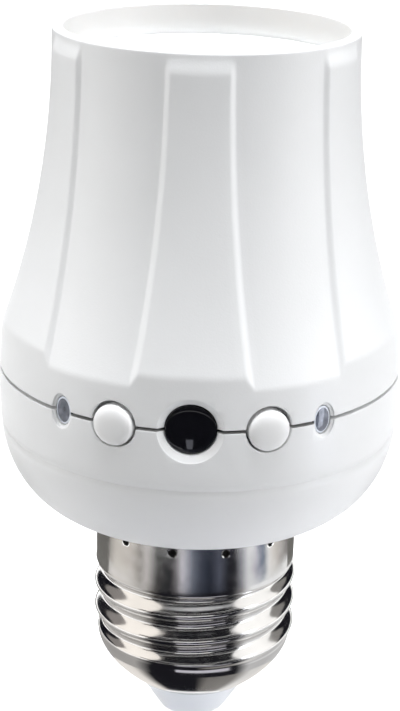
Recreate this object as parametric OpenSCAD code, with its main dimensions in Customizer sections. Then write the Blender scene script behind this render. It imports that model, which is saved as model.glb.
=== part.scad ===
// Light sensor adapter: a screw base below, a lamp socket above, and the light
// sensor, two push buttons and two indicators on the seam between the two
// halves of its moulded housing.
// Millimetres. The axis is Z, the tip contact stands on Z = 0 and the controls face -Y.

/* [Upper housing] */
// Height of the upper housing above the seam
upper_h = 42; // [38:0.1:48]
// Outer radius at the rim
rim_r = 18.45; // [17.8:0.05:20.5]
// Wall thickness of both halves
wall = 1.3; // [1.1:0.1:1.7]
// Height of the plain band above the seam
band_h = 4.8; // [4.4:0.1:7]
// How much narrower the band is at its top than at the seam
band_draft = 0.35; // [0.2:0.05:0.6]
// Power of the flare's curve
flare_power = 2.1; // [1.8:0.1:2.5]

/* [Flutes] */
// Number of sunk panels
flute_count = 6; // [4:1:8]
// Width of a sunk panel at its floor
flute_w = 11; // [8:0.1:12.5]
// Depth of a sunk panel
flute_depth = 0.45; // [0.3:0.05:0.8]
// Angle of a panel's side wall from the surface normal, degrees
flute_wall_angle = 55; // [20:1:60]
// Height of the slope that runs the raised panels out below the rim
flute_runout = 2.4; // [1:0.1:4]

/* [Bowl] */
// Radius of the belly at the seam
belly_r = 25.2; // [24.4:0.1:28]
// Depth of the bowl below the seam
bowl_h = 18.8; // [18.2:0.1:24]
// Height of the straight part of the bowl below the seam
bowl_straight_h = 5; // [4.5:0.1:7]
// Fullness of the bowl's curve; 2 is a quarter ellipse
bowl_power = 2.2; // [2:0.05:2.6]
// Radius of the flat underside
underside_r = 14; // [13.6:0.1:16]
// Gap between the two halves at the seam
seam_gap = 0.4; // [0.2:0.05:0.5]
// Distance of the groove round the bowl below the seam
groove_drop = 7.5; // [6:0.1:9]
// Depth of that groove
groove_depth = 0.2; // [0.1:0.05:0.35]

/* [Rolled thread] */
// Crest radius of the base's thread
thread_crest_r = 13.2; // [13.05:0.05:13.25]
// Depth from crest to root
thread_depth = 1.1; // [0.9:0.05:1.2]
// Pitch
thread_pitch = 3.629; // [3.4:0.001:3.9]
// Thickness of the rolled sheet
sheet_t = 0.45; // [0.4:0.01:0.5]

/* [Screw base] */
// Radius of the plain collar above the thread
collar_r = 12.95; // [12.8:0.01:13.1]
// Height of the plain collar
collar_h = 8.3; // [7:0.1:10]
// Height of the threaded stretch
thread_h = 10.8; // [9:0.1:13]
// Height of the tapered nose below the thread
nose_h = 6.2; // [5:0.1:7.5]
// Radius of the nose's open lower end
nose_r = 8; // [7.6:0.1:8.5]
// Height of the insulator below the nose
insulator_h = 4.6; // [3.5:0.1:6]
// Radius of the insulator where it leaves the nose
insulator_top_r = 7.1; // [6.5:0.1:7.4]
// Radius of the insulator's lower end
insulator_end_r = 4.2; // [3.8:0.1:5]
// Height of the tip contact below the insulator
tip_h = 1.8; // [1:0.1:2.5]
// Number of punch marks that lock the collar on its neck
dent_count = 12; // [6:1:16]
// Radius of a punch mark
dent_r = 0.42; // [0.3:0.01:0.6]
// Distance of the punch marks below the bowl
dent_drop = 2.6; // [1.5:0.1:4]
// Turn of the punch marks round the axis, degrees
dent_turn = 4.3; // [0:0.1:15]

/* [Lamp socket] */
// Depth of the deck below the rim
deck_drop = 3.8; // [2.5:0.1:5]
// Thickness of the deck
deck_t = 2; // [1.5:0.1:3]
// Depth of the socket from the deck to its floor
socket_depth = 29.5; // [27:0.1:31]
// Height of the plain collar at the socket's mouth
mouth_h = 9.8; // [7:0.1:11]
// Radial room that the socket's thread leaves round a lamp cap
socket_clear = 0.15; // [0.05:0.01:0.25]
// Wall of the socket's barrel
barrel_wall = 1.55; // [1.2:0.05:1.8]
// Depth of the bevel at the socket's mouth
mouth_bevel = 1.8; // [0.6:0.1:1.8]
// Width of the flat deck between that bevel and the rim
deck_land = 1.55; // [1.2:0.05:2.2]
// Height of the sprung contact above the socket's floor
leaf_rise = 2.6; // [1.8:0.1:4]

/* [Controls] */
// Angle of each push button from the window, degrees
button_angle = 20.95; // [19:0.05:22]
// Radius of a button's head
button_r = 2.53; // [2.2:0.01:2.8]
// Radial gap round a button's head
button_gap = 0.27; // [0.15:0.01:0.3]
// How far a button stands proud of the housing
button_proud = 0.8; // [0.6:0.05:1.2]
// Radius of the edge round a button's head
button_round = 0.7; // [0.4:0.05:0.9]
// Height of the dome on a button's head
button_dome = 0.25; // [0.1:0.05:0.3]
// Travel of a button
button_travel = 0.5; // [0.3:0.05:0.5]
// Radius of the window's opening
window_r = 3.05; // [2.5:0.05:3.2]
// Width of the bevel round the window
window_bevel = 0.75; // [0.4:0.05:0.8]
// Height of the window's dome
window_dome = 0.3; // [0.2:0.05:0.4]
// Angle of each indicator lamp from the window, degrees
led_angle = 37.5; // [36:0.1:41]
// Width of an indicator's oval opening
led_w = 2.4; // [2:0.1:3]
// Height of that opening
led_h = 3.6; // [3.2:0.1:4]
// Width of the bevel round it
led_bevel = 0.3; // [0.2:0.05:0.4]

/* [Circuit board] */
// Thickness of the board
board_t = 1.6; // [1.2:0.1:2]
// Height of the switch bodies
switch_h = 4.4; // [4:0.1:4.8]
// Radius of the insulated wires
wire_r = 0.8; // [0.6:0.05:1]

/* [Parts on the board] */
// Width of the film capacitor
film_w = 15; // [12:0.5:16]
// Depth of the film capacitor
film_d = 6; // [5:0.1:6.5]
// Height of the film capacitor
film_h = 9.5; // [8:0.1:10]
// Radius of the smoothing capacitor
smoothing_r = 4; // [3.2:0.1:4]
// Height of the smoothing capacitor
smoothing_h = 11; // [9:0.1:12]
// Width of the triac
triac_w = 8; // [6:0.1:9]
// Thickness of the triac
triac_t = 3; // [2.4:0.1:3.4]
// Height of the triac
triac_h = 11; // [9:0.1:12]
// Length of the controller chip
chip_w = 9; // [7:0.1:10]
// Depth of the controller chip
chip_d = 4; // [3.5:0.1:5]
// Thickness of the controller chip
chip_h = 1.5; // [1.2:0.1:2]
// Radius of the fusible resistor
resistor_r = 1.8; // [1.4:0.1:2]
// Length of the fusible resistor
resistor_len = 9; // [7:0.5:10]
// Radius of the light sensor's body
sensor_r = 1.9; // [1.6:0.1:2]
// Length of the light sensor's body
sensor_len = 4.3; // [3.5:0.1:4.6]
// Radius of an indicator's light-emitting body
led_body_r = 1.5; // [1.2:0.05:1.5]
// Length of that body
led_len = 3.2; // [2.6:0.1:3.6]

/* [Hidden] */
$fn = 96;

// Clearances
fit_gap = 0.1;
loose_gap = 0.25;
eps = 0.01;

// Heights, stacked from the tip contact upwards
nose_z = tip_h + insulator_h;
thread_z = nose_z + nose_h;
collar_z = thread_z + thread_h;
bowl_z = collar_z + collar_h;
seam_z = bowl_z + bowl_h;
band_z = seam_z + band_h;
rim_z = seam_z + upper_h;
deck_z = rim_z - deck_drop;
deck_under_z = deck_z - deck_t;
step_z = deck_z - mouth_h;
floor_z = deck_z - socket_depth;

// Housing
band_top_r = belly_r - band_draft;
belly_inner_r = belly_r - wall;
profile_steps = 18;
flare_lap = 2;
rim_edge = 0.2;
bore_relief = 0.03;
ledge_t = 1.6;
lip_t = 0.9;
lip_r = belly_inner_r - fit_gap;
lip_drop = 3.9;
lip_foot_h = 1.6;
shoulder_t = 1.2;
control_sector = led_angle + 12;
groove_round = 0.6;
hook_angles = [75, 130, 180, 230, 285];
hook_w = 5;
hook_h = 1.2;
hook_depth = 0.45;
hook_drop = 2.1;

// Thread
mean_r = thread_crest_r - thread_depth / 2;
thread_amp = thread_depth / 2;
socket_mean_r = mean_r + socket_clear;
pocket_r = socket_mean_r + thread_amp + sheet_t + fit_gap;
mouth_step = 0.2;
mouth_r = pocket_r - mouth_step;
deck_r = rim_r - wall - fit_gap;
// The formed stretch laps into the plain ones, a little inside their faces
thread_lap = 0.4;
lap_inset = 0.05;
lap_t = sheet_t - 3 * lap_inset;
crest_drop = 2.05;
dent_lift = 0.35;
barrel_r = pocket_r + barrel_wall;
neck_r = collar_r - sheet_t - fit_gap;
neck_t = 1.5;
neck_short = 0.6;
stem_r = 1.5;
stem_top_z = nose_z + nose_h / 2;

// Socket floor
spigot_h = 2;
flange_t = 1.4;
barrel_z = floor_z - spigot_h;
floor_under_z = barrel_z - flange_t;
rivet_r = 1.3;
rivet_head_r = 2.2;
rivet_head_t = 0.5;
leaf_t = 0.4;
leaf_w = 4.6;
leaf_reach = 5.6;
leaf_fold = 0.7;
leaf_crown = 1.2;
terminal_t = 0.5;
terminal_w = 3;
terminal_r = socket_mean_r;
terminal_drop = 1.2;

// Controls, all centred on the seam
head_back = belly_inner_r - loose_gap;
flange_depth = 0.8;
flange_out = 0.5;
window_flange_out = 0.7;
flange_back = head_back - flange_depth;
window_lift = 0.2;
window_front_r = belly_r - window_bevel + window_lift;
window_flange_r = window_r + window_flange_out;
button_flange_r = button_r + button_gap + flange_out;
led_side_r = led_h * led_h / led_w / 2;
led_sink = 0.05;
led_front_r = belly_r - led_bevel - led_sink;
lens_wall = 0.45;
lens_t = 0.5;

// Board and what it carries
switch_sink = 0.2;
board_top_z = seam_z - switch_h / 2 - switch_sink;
board_z = board_top_z - board_t;
board_gap = 1.5;
board_r = belly_inner_r - lip_t - board_gap;
switch_w = 5.2;
switch_d = 3.6;
switch_inset = 3.9;
switch_front_r = belly_inner_r - switch_inset;
plunger_r = 1;
plunger_out = 0.9;
plunger_in = 0.7;
screw_angles = [140, 220];
screw_inset = 3.3;
screw_ring_r = board_r - screw_inset;
boss_r = 2.6;
screw_r = 1.1;
screw_head_r = 2;
screw_head_h = 1.3;
screw_len = 8;
sensor_back = flange_back - loose_gap - sensor_len;
led_back = flange_back - loose_gap - led_len;
bead_rim = 0.3;
bead_rim_t = 0.8;

// How far each part on the board lies inside its edge, and where that puts it
resistor_inset = 10;
chip_inset = 15.5;
film_inset = 12.5;
smoothing_inset = 9;
triac_inset = 7.5;
resistor_lift = 0.5;
resistor_y = resistor_inset - board_r;
resistor_z = board_z - resistor_r - resistor_lift;
chip_y = board_r - chip_inset;
film_y = board_r - film_inset;
smoothing_x = board_r - smoothing_inset;
smoothing_y = 1;
triac_x = triac_inset - board_r;
triac_y = -3;

// Wires, and where each meets the board
wire_steps = 11;
wire_sides = 8;
wire_run = 4;
live_at = [4, 3];
neutral_at = [-4, -3];
lamp_live_at = [3, -3];
lamp_neutral_at = [-9, -3];

// The sunk panels' surface: a power curve from the rim to the top of the band
function flare_r(z) = rim_r + (band_top_r - rim_r) * pow((rim_z - z) / (rim_z - band_z), flare_power);

// How far the raised panels stand out at height z; they run out just below the rim
function raise(z) = flute_depth * min(1, max(0, (rim_z - rim_edge - z) / flute_runout));

// Heights at which the flare is drawn, from below the band to the rim
flare_low_z = seam_z - flare_lap;
runout_z = rim_z - rim_edge - flute_runout;
flare_heights = concat(
    [for (i = [0:profile_steps]) flare_low_z + (runout_z - flare_low_z) * i / profile_steps],
    [rim_z - rim_edge]
);

// Closed half section of a body that follows the flare at a given offset
function flare_section(offset, raised) = concat(
    [[0, flare_low_z]],
    [for (z = flare_heights) [flare_r(z) + offset + raised * raise(z), z]],
    [[rim_r + offset - rim_edge, rim_z], [0, rim_z]]
);

// Curve of the bowl, from its straight side to the flat underside
bowl_steps = 14;
bowl_core_z = seam_z - bowl_straight_h;
function bowl_section(inset, floor_t, top_z) = concat(
    [[0, top_z], [belly_r - inset, top_z]],
    [for (i = [0:bowl_steps])
        let (a = 90 * i / bowl_steps)
        [underside_r + (belly_r - underside_r - inset) * pow(cos(a), 2 / bowl_power),
         bowl_core_z - (bowl_h - bowl_straight_h - floor_t) * pow(sin(a), 2 / bowl_power)]],
    [[0, bowl_z + floor_t]]
);

// A strip of constant thickness along a 2-D path
function unit(v) = v / norm(v);
function side(path, i) =
    let (a = path[max(i - 1, 0)], b = path[min(i + 1, len(path) - 1)], d = unit(b - a))
    [-d[1], d[0]];
function strip(path, t) = concat(
    [for (i = [0:len(path) - 1]) path[i] + side(path, i) * t / 2],
    [for (i = [len(path) - 1:-1:0]) path[i] - side(path, i) * t / 2]
);

// Puts what it holds on the seam at an angle from the front, its +Z pointing outwards
module facing_out(angle, distance) {
    rotate([0, 0, angle]) translate([0, -distance, seam_z]) rotate([90, 0, 0]) children();
}

// A wedge of the full circle, from angle a to angle b measured from the front
module sector(a, b, r, h) {
    n = 8;
    linear_extrude(height = h)
        polygon(concat([[0, 0]], [for (i = [0:n]) let (t = a + (b - a) * i / n) r * [sin(t), -cos(t)]]));
}

// Grid of rings closed into a solid: each ring is a list of points, all of one length
module skin(rings) {
    n = len(rings[0]);
    m = len(rings);
    points = [for (ring = rings) for (p = ring) p];
    sides = [for (j = [0:m - 2]) for (i = [0:n - 1])
        let (a = j * n + i, b = j * n + (i + 1) % n)
        each [[a, b + n, b], [a, a + n, b + n]]];
    bottom = [for (i = [0:n - 1]) i];
    top = [for (i = [n - 1:-1:0]) (m - 1) * n + i];
    polyhedron(points = points, faces = concat([bottom], sides, [top]));
}

// One side wall pair of a sunk panel: its half width grows outwards from the floor
module flute_wedge() {
    steps = 12;
    low_z = band_z - 1.5;
    high_z = rim_z + 1;
    inner = 1;
    outer = 1.6;
    half = flute_w / 2;
    slope = tan(flute_wall_angle + asin(flute_w / (rim_r + band_top_r)));
    rings = [for (i = [0:steps])
        let (
            z = low_z + (high_z - low_z) * i / steps,
            r = flare_r(min(z, rim_z)),
            y = sqrt(r * r - half * half)
        )
        [[half - inner * slope, -y + inner, z], [half + outer * slope, -y - outer, z],
         [-half - outer * slope, -y - outer, z], [-half + inner * slope, -y + inner, z]]];
    skin([for (ring = rings) [for (k = [3:-1:0]) ring[k]]]);
}

// Oval bar of the indicators, its outline moved out by grow and, at its far end, by flare more
module oval_bar(h, grow, flare = 0) {
    end_r = led_h / 2 + grow;
    side_r = led_side_r + grow;
    off = led_side_r - led_w / 2;
    intersection() {
        cylinder(h = h, r1 = end_r, r2 = end_r + flare);
        translate([-off, 0, 0]) cylinder(h = h, r1 = side_r, r2 = side_r + flare);
        translate([off, 0, 0]) cylinder(h = h, r1 = side_r, r2 = side_r + flare);
    }
}

// Openings of the controls through the wall of both halves
module control_openings() {
    depth = 2 * wall;
    facing_out(0, belly_r - depth) cylinder(h = 2 * depth, r = window_r);
    facing_out(0, belly_r - window_bevel)
        cylinder(h = 2 * window_bevel, r1 = window_r, r2 = window_r + 2 * window_bevel);
    for (s = [-1, 1]) {
        facing_out(s * button_angle, belly_r - depth) cylinder(h = 2 * depth, r = button_r + button_gap);
        facing_out(s * led_angle, belly_r - depth) oval_bar(2 * depth, 0);
        facing_out(s * led_angle, belly_r - led_bevel) oval_bar(2 * led_bevel, 0, 2 * led_bevel);
    }
}

module hooks(grow) {
    intersection() {
        for (a = hook_angles)
            rotate([0, 0, a])
                translate([-hook_w / 2 - grow, -belly_r, seam_z - hook_drop - hook_h - grow])
                    cube([hook_w + 2 * grow, belly_r, hook_h + 2 * grow]);
        translate([0, 0, seam_z - lip_drop])
            difference() {
                cylinder(h = lip_drop, r = lip_r + hook_depth + grow);
                translate([0, 0, -eps]) cylinder(h = lip_drop + 2 * eps, r = lip_r - lip_t / 2);
            }
    }
}

module upper_housing() {
    low_z = seam_z + seam_gap / 2;
    cone_top_r = belly_r - band_draft * upper_h / band_h;
    color("#eef0ef")
    union() {
        difference() {
            intersection() {
                translate([0, 0, low_z]) cylinder(h = upper_h, r1 = belly_r, r2 = cone_top_r);
                rotate_extrude() polygon(flare_section(0, 1));
            }
            intersection() {
                translate([0, 0, low_z - 1]) cylinder(h = upper_h + flare_lap, r = belly_inner_r);
                rotate_extrude() polygon(flare_section(-wall, 0));
            }
            // The bore is open at the rim
            translate([0, 0, rim_z - 1]) cylinder(h = 2, r = rim_r - wall + bore_relief);
            control_openings();
            intersection() {
                for (i = [0:flute_count - 1])
                    rotate([0, 0, (i + 0.5) * 360 / flute_count]) flute_wedge();
                difference() {
                    translate([0, 0, low_z]) cylinder(h = upper_h, r = belly_r + 1);
                    rotate_extrude() polygon(flare_section(0, 0));
                }
            }
        }
        // Ledge under the deck
        translate([0, 0, deck_under_z - ledge_t])
            difference() {
                cylinder(h = ledge_t, r = rim_r - wall / 2);
                translate([0, 0, -eps]) cylinder(h = ledge_t + 2 * eps, r = barrel_r + loose_gap);
            }
        // Lip that centres the lower half, left out behind the controls
        difference() {
            union() {
                translate([0, 0, seam_z - lip_drop]) cylinder(h = lip_drop + lip_foot_h, r = lip_r);
                translate([0, 0, seam_z + lip_foot_h / 2])
                    cylinder(h = lip_foot_h / 2, r = belly_r - wall / 2);
                hooks(0);
            }
            translate([0, 0, seam_z - lip_drop - eps])
                cylinder(h = lip_drop + lip_foot_h + 2 * eps, r = lip_r - lip_t);
            translate([0, 0, seam_z - lip_drop - 1])
                sector(-control_sector, control_sector, 2 * belly_r, lip_drop + lip_foot_h + 2);
        }
    }
}

module lower_housing() {
    groove_z = seam_z - groove_drop;
    groove_share = (groove_drop - bowl_straight_h) / (bowl_h - bowl_straight_h);
    groove_r = underside_r + (belly_r - underside_r) * pow(1 - pow(groove_share, bowl_power), 1 / bowl_power);
    color("#eceeee")
    difference() {
        union() {
            difference() {
                rotate_extrude() polygon(bowl_section(0, 0, seam_z - seam_gap / 2));
                rotate_extrude() polygon(bowl_section(wall, wall, seam_z));
            }
            // Shoulder that the upper half's lip stands on
            translate([0, 0, seam_z - lip_drop - shoulder_t])
                difference() {
                    cylinder(h = shoulder_t, r = belly_r - wall / 2);
                    translate([0, 0, -eps]) cylinder(h = shoulder_t + 2 * eps, r = lip_r - lip_t);
                }
            // Neck that the base shell is pushed over
            translate([0, 0, collar_z + neck_short])
                cylinder(h = collar_h - neck_short + wall, r = neck_r);
            // Posts under the board
            intersection() {
                for (a = concat(screw_angles, [0]))
                    rotate([0, 0, a])
                        translate([0, -screw_ring_r, bowl_z]) cylinder(h = board_z - bowl_z, r = boss_r);
                rotate_extrude() polygon(bowl_section(wall / 2, wall / 2, seam_z));
            }
        }
        translate([0, 0, collar_z]) cylinder(h = collar_h + 2 * wall, r = neck_r - neck_t);
        for (a = screw_angles)
            rotate([0, 0, a])
                translate([0, -screw_ring_r, board_z - screw_len])
                    cylinder(h = screw_len + 1, r = screw_r + fit_gap / 2);
        translate([0, 0, groove_z])
            rotate_extrude()
                translate([groove_r + groove_round - groove_depth, 0]) circle(r = groove_round, $fn = 32);
        control_openings();
        hooks(fit_gap);
    }
}

// White moulding with the deck, the mouth and the barrel of the lamp socket
module socket_insert() {
    color("#f4f5f4")
    rotate_extrude()
        polygon([
            [pocket_r, barrel_z], [barrel_r, barrel_z], [barrel_r, deck_under_z],
            [deck_r, deck_under_z], [deck_r, deck_z],
            [deck_r - deck_land, deck_z], [mouth_r, deck_z - mouth_bevel],
            [mouth_r, step_z], [pocket_r, step_z]
        ]);
}

// Rolled thread between two heights: a round section set off centre and turned with height,
// fading to a plain ring over the last part of each end
module rolled_thread(z0, z1, mean, r0, r1, t, crest_z, sides, per_turn) {
    steps = ceil((z1 - z0) / thread_pitch * per_turn);
    fade_h = thread_pitch / 3;
    function blend(z) = min(1, (z - z0) / fade_h, (z1 - z) / fade_h);
    function smooth(x) = x * x * (3 - 2 * x);
    function ring_r(z, a, inset) =
        let (
            f = smooth(max(0, blend(z))),
            plain = (z - z0 < z1 - z) ? r0 : r1,
            turn = 360 * (z - crest_z) / thread_pitch
        )
        plain * (1 - f) + (mean + thread_amp * cos(a - turn)) * f - inset;
    function ring(z, inset) = [for (i = [0:sides - 1])
        let (a = 360 * i / sides, r = ring_r(z, a, inset)) [r * cos(a), r * sin(a), z]];
    difference() {
        skin([for (j = [0:steps]) ring(z0 + (z1 - z0) * j / steps, 0)]);
        skin([for (j = [-1:steps + 1])
            let (
                z = z0 + (z1 - z0) * min(max(j, 0), steps) / steps,
                over = j < 0 ? -1 : j > steps ? 1 : 0
            )
            [for (p = ring(z, t)) p + [0, 0, over]]]);
    }
}

module socket_shell() {
    plain_r = socket_mean_r + sheet_t / 2;
    lap_r = plain_r - lap_inset;
    crest_r = socket_mean_r + sheet_t;
    ring_h = 2;
    low = floor_z + ring_h;
    high = step_z - ring_h / 2;
    color("#d9c48a") {
        rolled_thread(low - thread_lap, high + thread_lap, crest_r, lap_r, lap_r, lap_t, low, 28, 8);
        rotate_extrude()
            polygon([
                [plain_r - sheet_t, floor_z], [plain_r, floor_z],
                [plain_r, low], [plain_r - sheet_t, low]
            ]);
        rotate_extrude()
            polygon([
                [plain_r - sheet_t, high], [plain_r, high], [plain_r, step_z - sheet_t],
                [pocket_r - fit_gap, step_z - sheet_t], [pocket_r - fit_gap, step_z],
                [plain_r - sheet_t, step_z]
            ]);
    }
}

// Disc that closes the barrel and carries both contacts
module socket_floor() {
    color("#e6e2d6")
    difference() {
        union() {
            translate([0, 0, floor_under_z]) cylinder(h = flange_t, r = barrel_r - fit_gap);
            translate([0, 0, barrel_z]) cylinder(h = spigot_h, r = pocket_r - fit_gap);
        }
        translate([0, 0, floor_under_z - 1])
            cylinder(h = flange_t + spigot_h + 2, r = rivet_r + fit_gap / 2);
        translate([-terminal_r - terminal_t / 2 - fit_gap, -terminal_w / 2 - fit_gap, floor_under_z - 1])
            cube([terminal_t + 2 * fit_gap, terminal_w + 2 * fit_gap, flange_t + spigot_h + 2]);
    }
}

// Sprung leaf under the lamp's tip: flat under the rivet, folded back over itself
module centre_contact() {
    low = leaf_t / 2;
    high = leaf_rise - leaf_t / 2;
    path = [
        [rivet_head_r + leaf_crown, low], [-leaf_reach, low],
        [-leaf_reach - leaf_fold, low + leaf_fold * 0.65],
        [-leaf_reach - leaf_fold * 0.7, low + leaf_fold * 1.55],
        [-leaf_reach + leaf_fold * 0.6, high * 0.62], [-leaf_crown, high],
        [leaf_crown, high], [rivet_head_r + leaf_crown, high * 0.72]
    ];
    color("#c9a24a")
    difference() {
        translate([0, leaf_w / 2, floor_z])
            rotate([90, 0, 0]) linear_extrude(height = leaf_w) polygon(strip(path, leaf_t));
        translate([0, 0, floor_z - 1]) cylinder(h = 1 + leaf_t + eps, r = rivet_r + fit_gap / 2);
    }
}

module contact_rivet() {
    color("#c7c9cc") {
        translate([0, 0, floor_under_z - rivet_head_t])
            cylinder(h = floor_z + leaf_t - floor_under_z + rivet_head_t + rivet_head_t, r = rivet_r);
        translate([0, 0, floor_under_z - rivet_head_t]) cylinder(h = rivet_head_t, r = rivet_head_r);
        translate([0, 0, floor_z + leaf_t]) cylinder(h = rivet_head_t, r = rivet_head_r);
    }
}

// Strip from the foot of the socket's shell down through the floor
module shell_terminal() {
    color("#c9a24a")
    translate([-terminal_r - terminal_t / 2, -terminal_w / 2, floor_under_z - terminal_drop])
        cube([terminal_t, terminal_w, floor_z - floor_under_z + terminal_drop]);
}

// Outer line of the base's nose, from the thread down to the open end
nose_steps = 10;
nose_top_r = mean_r + 0.1;
nose_power = 1.65;
bead_power = 1.25;
function nose_line(inset) = [for (i = [0:nose_steps])
    let (d = i / nose_steps)
    [nose_top_r - (nose_top_r - nose_r) * pow(d, nose_power) - inset, thread_z - nose_h * d]];

module base_shell() {
    crest_z = collar_z - crest_drop;
    dent_ring_r = collar_r + dent_r * dent_lift;
    color("#b9b6b0")
    union() {
        difference() {
            translate([0, 0, collar_z]) cylinder(h = collar_h, r = collar_r);
            translate([0, 0, collar_z - 1]) cylinder(h = collar_h + 2, r = collar_r - sheet_t);
            for (i = [0:dent_count - 1])
                rotate([0, 0, (i + 0.5) * 360 / dent_count + dent_turn])
                    translate([0, -dent_ring_r, bowl_z - dent_drop]) sphere(r = dent_r, $fn = 24);
        }
        rolled_thread(thread_z - thread_lap, collar_z + thread_lap, mean_r, nose_top_r - lap_inset,
            collar_r - lap_inset, lap_t, crest_z, 30, 10);
        rotate_extrude()
            polygon(concat(nose_line(0), [for (i = [nose_steps:-1:0])
                nose_line(sheet_t)[i] + [0, i == nose_steps ? 0 : sheet_t / 2]]));
    }
}

module base_insulator() {
    steps = 8;
    seat_steps = 4;
    seat = nose_line(sheet_t + fit_gap);
    top_z = thread_z - nose_h * (1 - seat_steps / nose_steps) + sheet_t / 2;
    color("#f3f2ee")
    rotate_extrude()
        polygon(concat(
            [[stem_r + fit_gap, tip_h]],
            [for (i = [steps:-1:0]) let (d = i / steps)
                [insulator_end_r + (insulator_top_r - insulator_end_r) * (1 - pow(d, bead_power)),
                 nose_z - fit_gap - (insulator_h - fit_gap) * d]],
            [[nose_r - sheet_t - fit_gap, nose_z - fit_gap]],
            [for (i = [nose_steps:-1:nose_steps - seat_steps]) seat[i] + [0, sheet_t / 2]],
            [[stem_r + fit_gap, top_z]]
        ));
}

// Domed contact with the stem that the live wire is soldered to
module tip_contact() {
    steps = 6;
    dome_h = 0.75 * tip_h;
    r = insulator_end_r - 0.3;
    color("#c7c9cc")
    rotate_extrude()
        polygon(concat(
            [for (i = [0:steps]) let (a = 90 * i / steps) [r * sin(a), dome_h * (1 - cos(a))]],
            [[r, tip_h], [stem_r, tip_h], [stem_r, stem_top_z], [0, stem_top_z]]
        ));
}

module circuit_board() {
    color("#2f6b3c")
    difference() {
        translate([0, 0, board_z]) cylinder(h = board_t, r = board_r);
        for (a = screw_angles)
            rotate([0, 0, a])
                translate([0, -screw_ring_r, board_z - 1]) cylinder(h = board_t + 2, r = screw_r + loose_gap);
    }
}

module board_screws() {
    color("#b8babd")
    for (a = screw_angles)
        rotate([0, 0, a]) translate([0, -screw_ring_r, board_top_z]) {
            cylinder(h = screw_head_h, r = screw_head_r);
            translate([0, 0, -screw_len + 1]) cylinder(h = screw_len, r = screw_r);
        }
}

// Start of a head's outline: the flange behind the wall, then the neck through the opening
function flange_outline(outer, neck) =
    [[0, 0], [outer, 0], [outer, flange_depth - loose_gap], [neck, flange_depth - loose_gap]];

// Dark window: a slightly domed front in the opening, a flange behind the wall
module sensor_window() {
    steps = 5;
    front = window_front_r - flange_back;
    r = window_r - fit_gap;
    color("#17181a")
    facing_out(0, flange_back)
        rotate_extrude()
            polygon(concat(
                flange_outline(window_flange_r, r),
                [for (i = [steps:-1:0])
                    let (a = 90 * i / steps) [r * sin(a), front - window_dome * (1 - cos(a))]]
            ));
}

module light_sensor() {
    nose = sensor_r / 2;
    color("#26282b")
    facing_out(0, sensor_back) {
        cylinder(h = sensor_len - nose, r = sensor_r);
        translate([0, 0, sensor_len - nose]) cylinder(h = nose, r1 = sensor_r, r2 = sensor_r * 0.6);
        cylinder(h = bead_rim_t, r = sensor_r + bead_rim);
    }
}

// Push button: domed head, flange behind the wall and a stem that meets the switch
module push_button(angle) {
    steps = 6;
    head = belly_r + button_proud - flange_back;
    shoulder = head - button_dome;
    stem_end = switch_front_r + plunger_out - flange_back;
    color("#f2f3f2")
    facing_out(angle, flange_back) {
        rotate_extrude()
            polygon(concat(
                flange_outline(button_flange_r, button_r),
                [for (i = [0:steps]) let (a = 90 * i / steps)
                    [button_r - button_round * (1 - cos(a)), shoulder - button_round * (1 - sin(a))]],
                [[0, head]]
            ));
        translate([0, 0, stem_end]) cylinder(h = eps - stem_end, r = plunger_r);
    }
}

module switch_plunger(angle) {
    color("#3a3c3f")
    facing_out(angle, switch_front_r - plunger_in) cylinder(h = plunger_in + plunger_out, r = plunger_r);
}

module switch_body(angle) {
    color("#3a3c3f")
    facing_out(angle, switch_front_r - switch_d)
        difference() {
            translate([-switch_w / 2, board_top_z - seam_z, 0]) cube([switch_w, switch_h, switch_d]);
            translate([0, 0, switch_d - plunger_in - button_travel - fit_gap])
                cylinder(h = plunger_in + button_travel + 1, r = plunger_r + fit_gap);
        }
}

// Clear oval cap, hollow behind its front
module indicator_lens(angle) {
    front = led_front_r - flange_back;
    color("#dfe7ee")
    facing_out(angle, flange_back)
        difference() {
            union() {
                oval_bar(flange_depth - loose_gap, flange_out);
                oval_bar(front, -fit_gap);
            }
            translate([0, 0, -eps]) oval_bar(front - lens_t + eps, -fit_gap - lens_wall);
        }
}

module indicator_led(angle) {
    color("#c9d4dc")
    facing_out(angle, led_back) {
        cylinder(h = led_len, r = led_body_r);
        cylinder(h = bead_rim_t, r = led_body_r + bead_rim);
    }
}

module controller_chip() {
    color("#2a2b2e")
    translate([-chip_w / 2, chip_y - chip_d / 2, board_top_z]) cube([chip_w, chip_d, chip_h]);
}

module triac() {
    color("#2a2b2e")
    translate([triac_x, triac_y, board_z - triac_h]) cube([triac_t, triac_w, triac_h]);
}

module film_capacitor() {
    color("#b5302a")
    translate([-film_w / 2, film_y, board_z - film_h]) cube([film_w, film_d, film_h]);
}

// Its can is crimped round the seal, near the end that meets the board
module smoothing_capacitor() {
    r = smoothing_r;
    h = smoothing_h;
    round = 0.4;
    crimp = 0.3;
    crimp_z = h - 1.9;
    color("#27303f")
    translate([smoothing_x, smoothing_y, board_z - h])
        rotate_extrude()
            polygon([
                [0, 0], [r - round, 0], [r, round], [r, crimp_z - crimp], [r - crimp, crimp_z],
                [r, crimp_z + crimp], [r, h], [0, h]
            ]);
}

module fuse_resistor() {
    color("#7fa3b5")
    translate([-resistor_len / 2, resistor_y, resistor_z])
        rotate([0, 90, 0]) cylinder(h = resistor_len, r = resistor_r);
}

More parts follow.
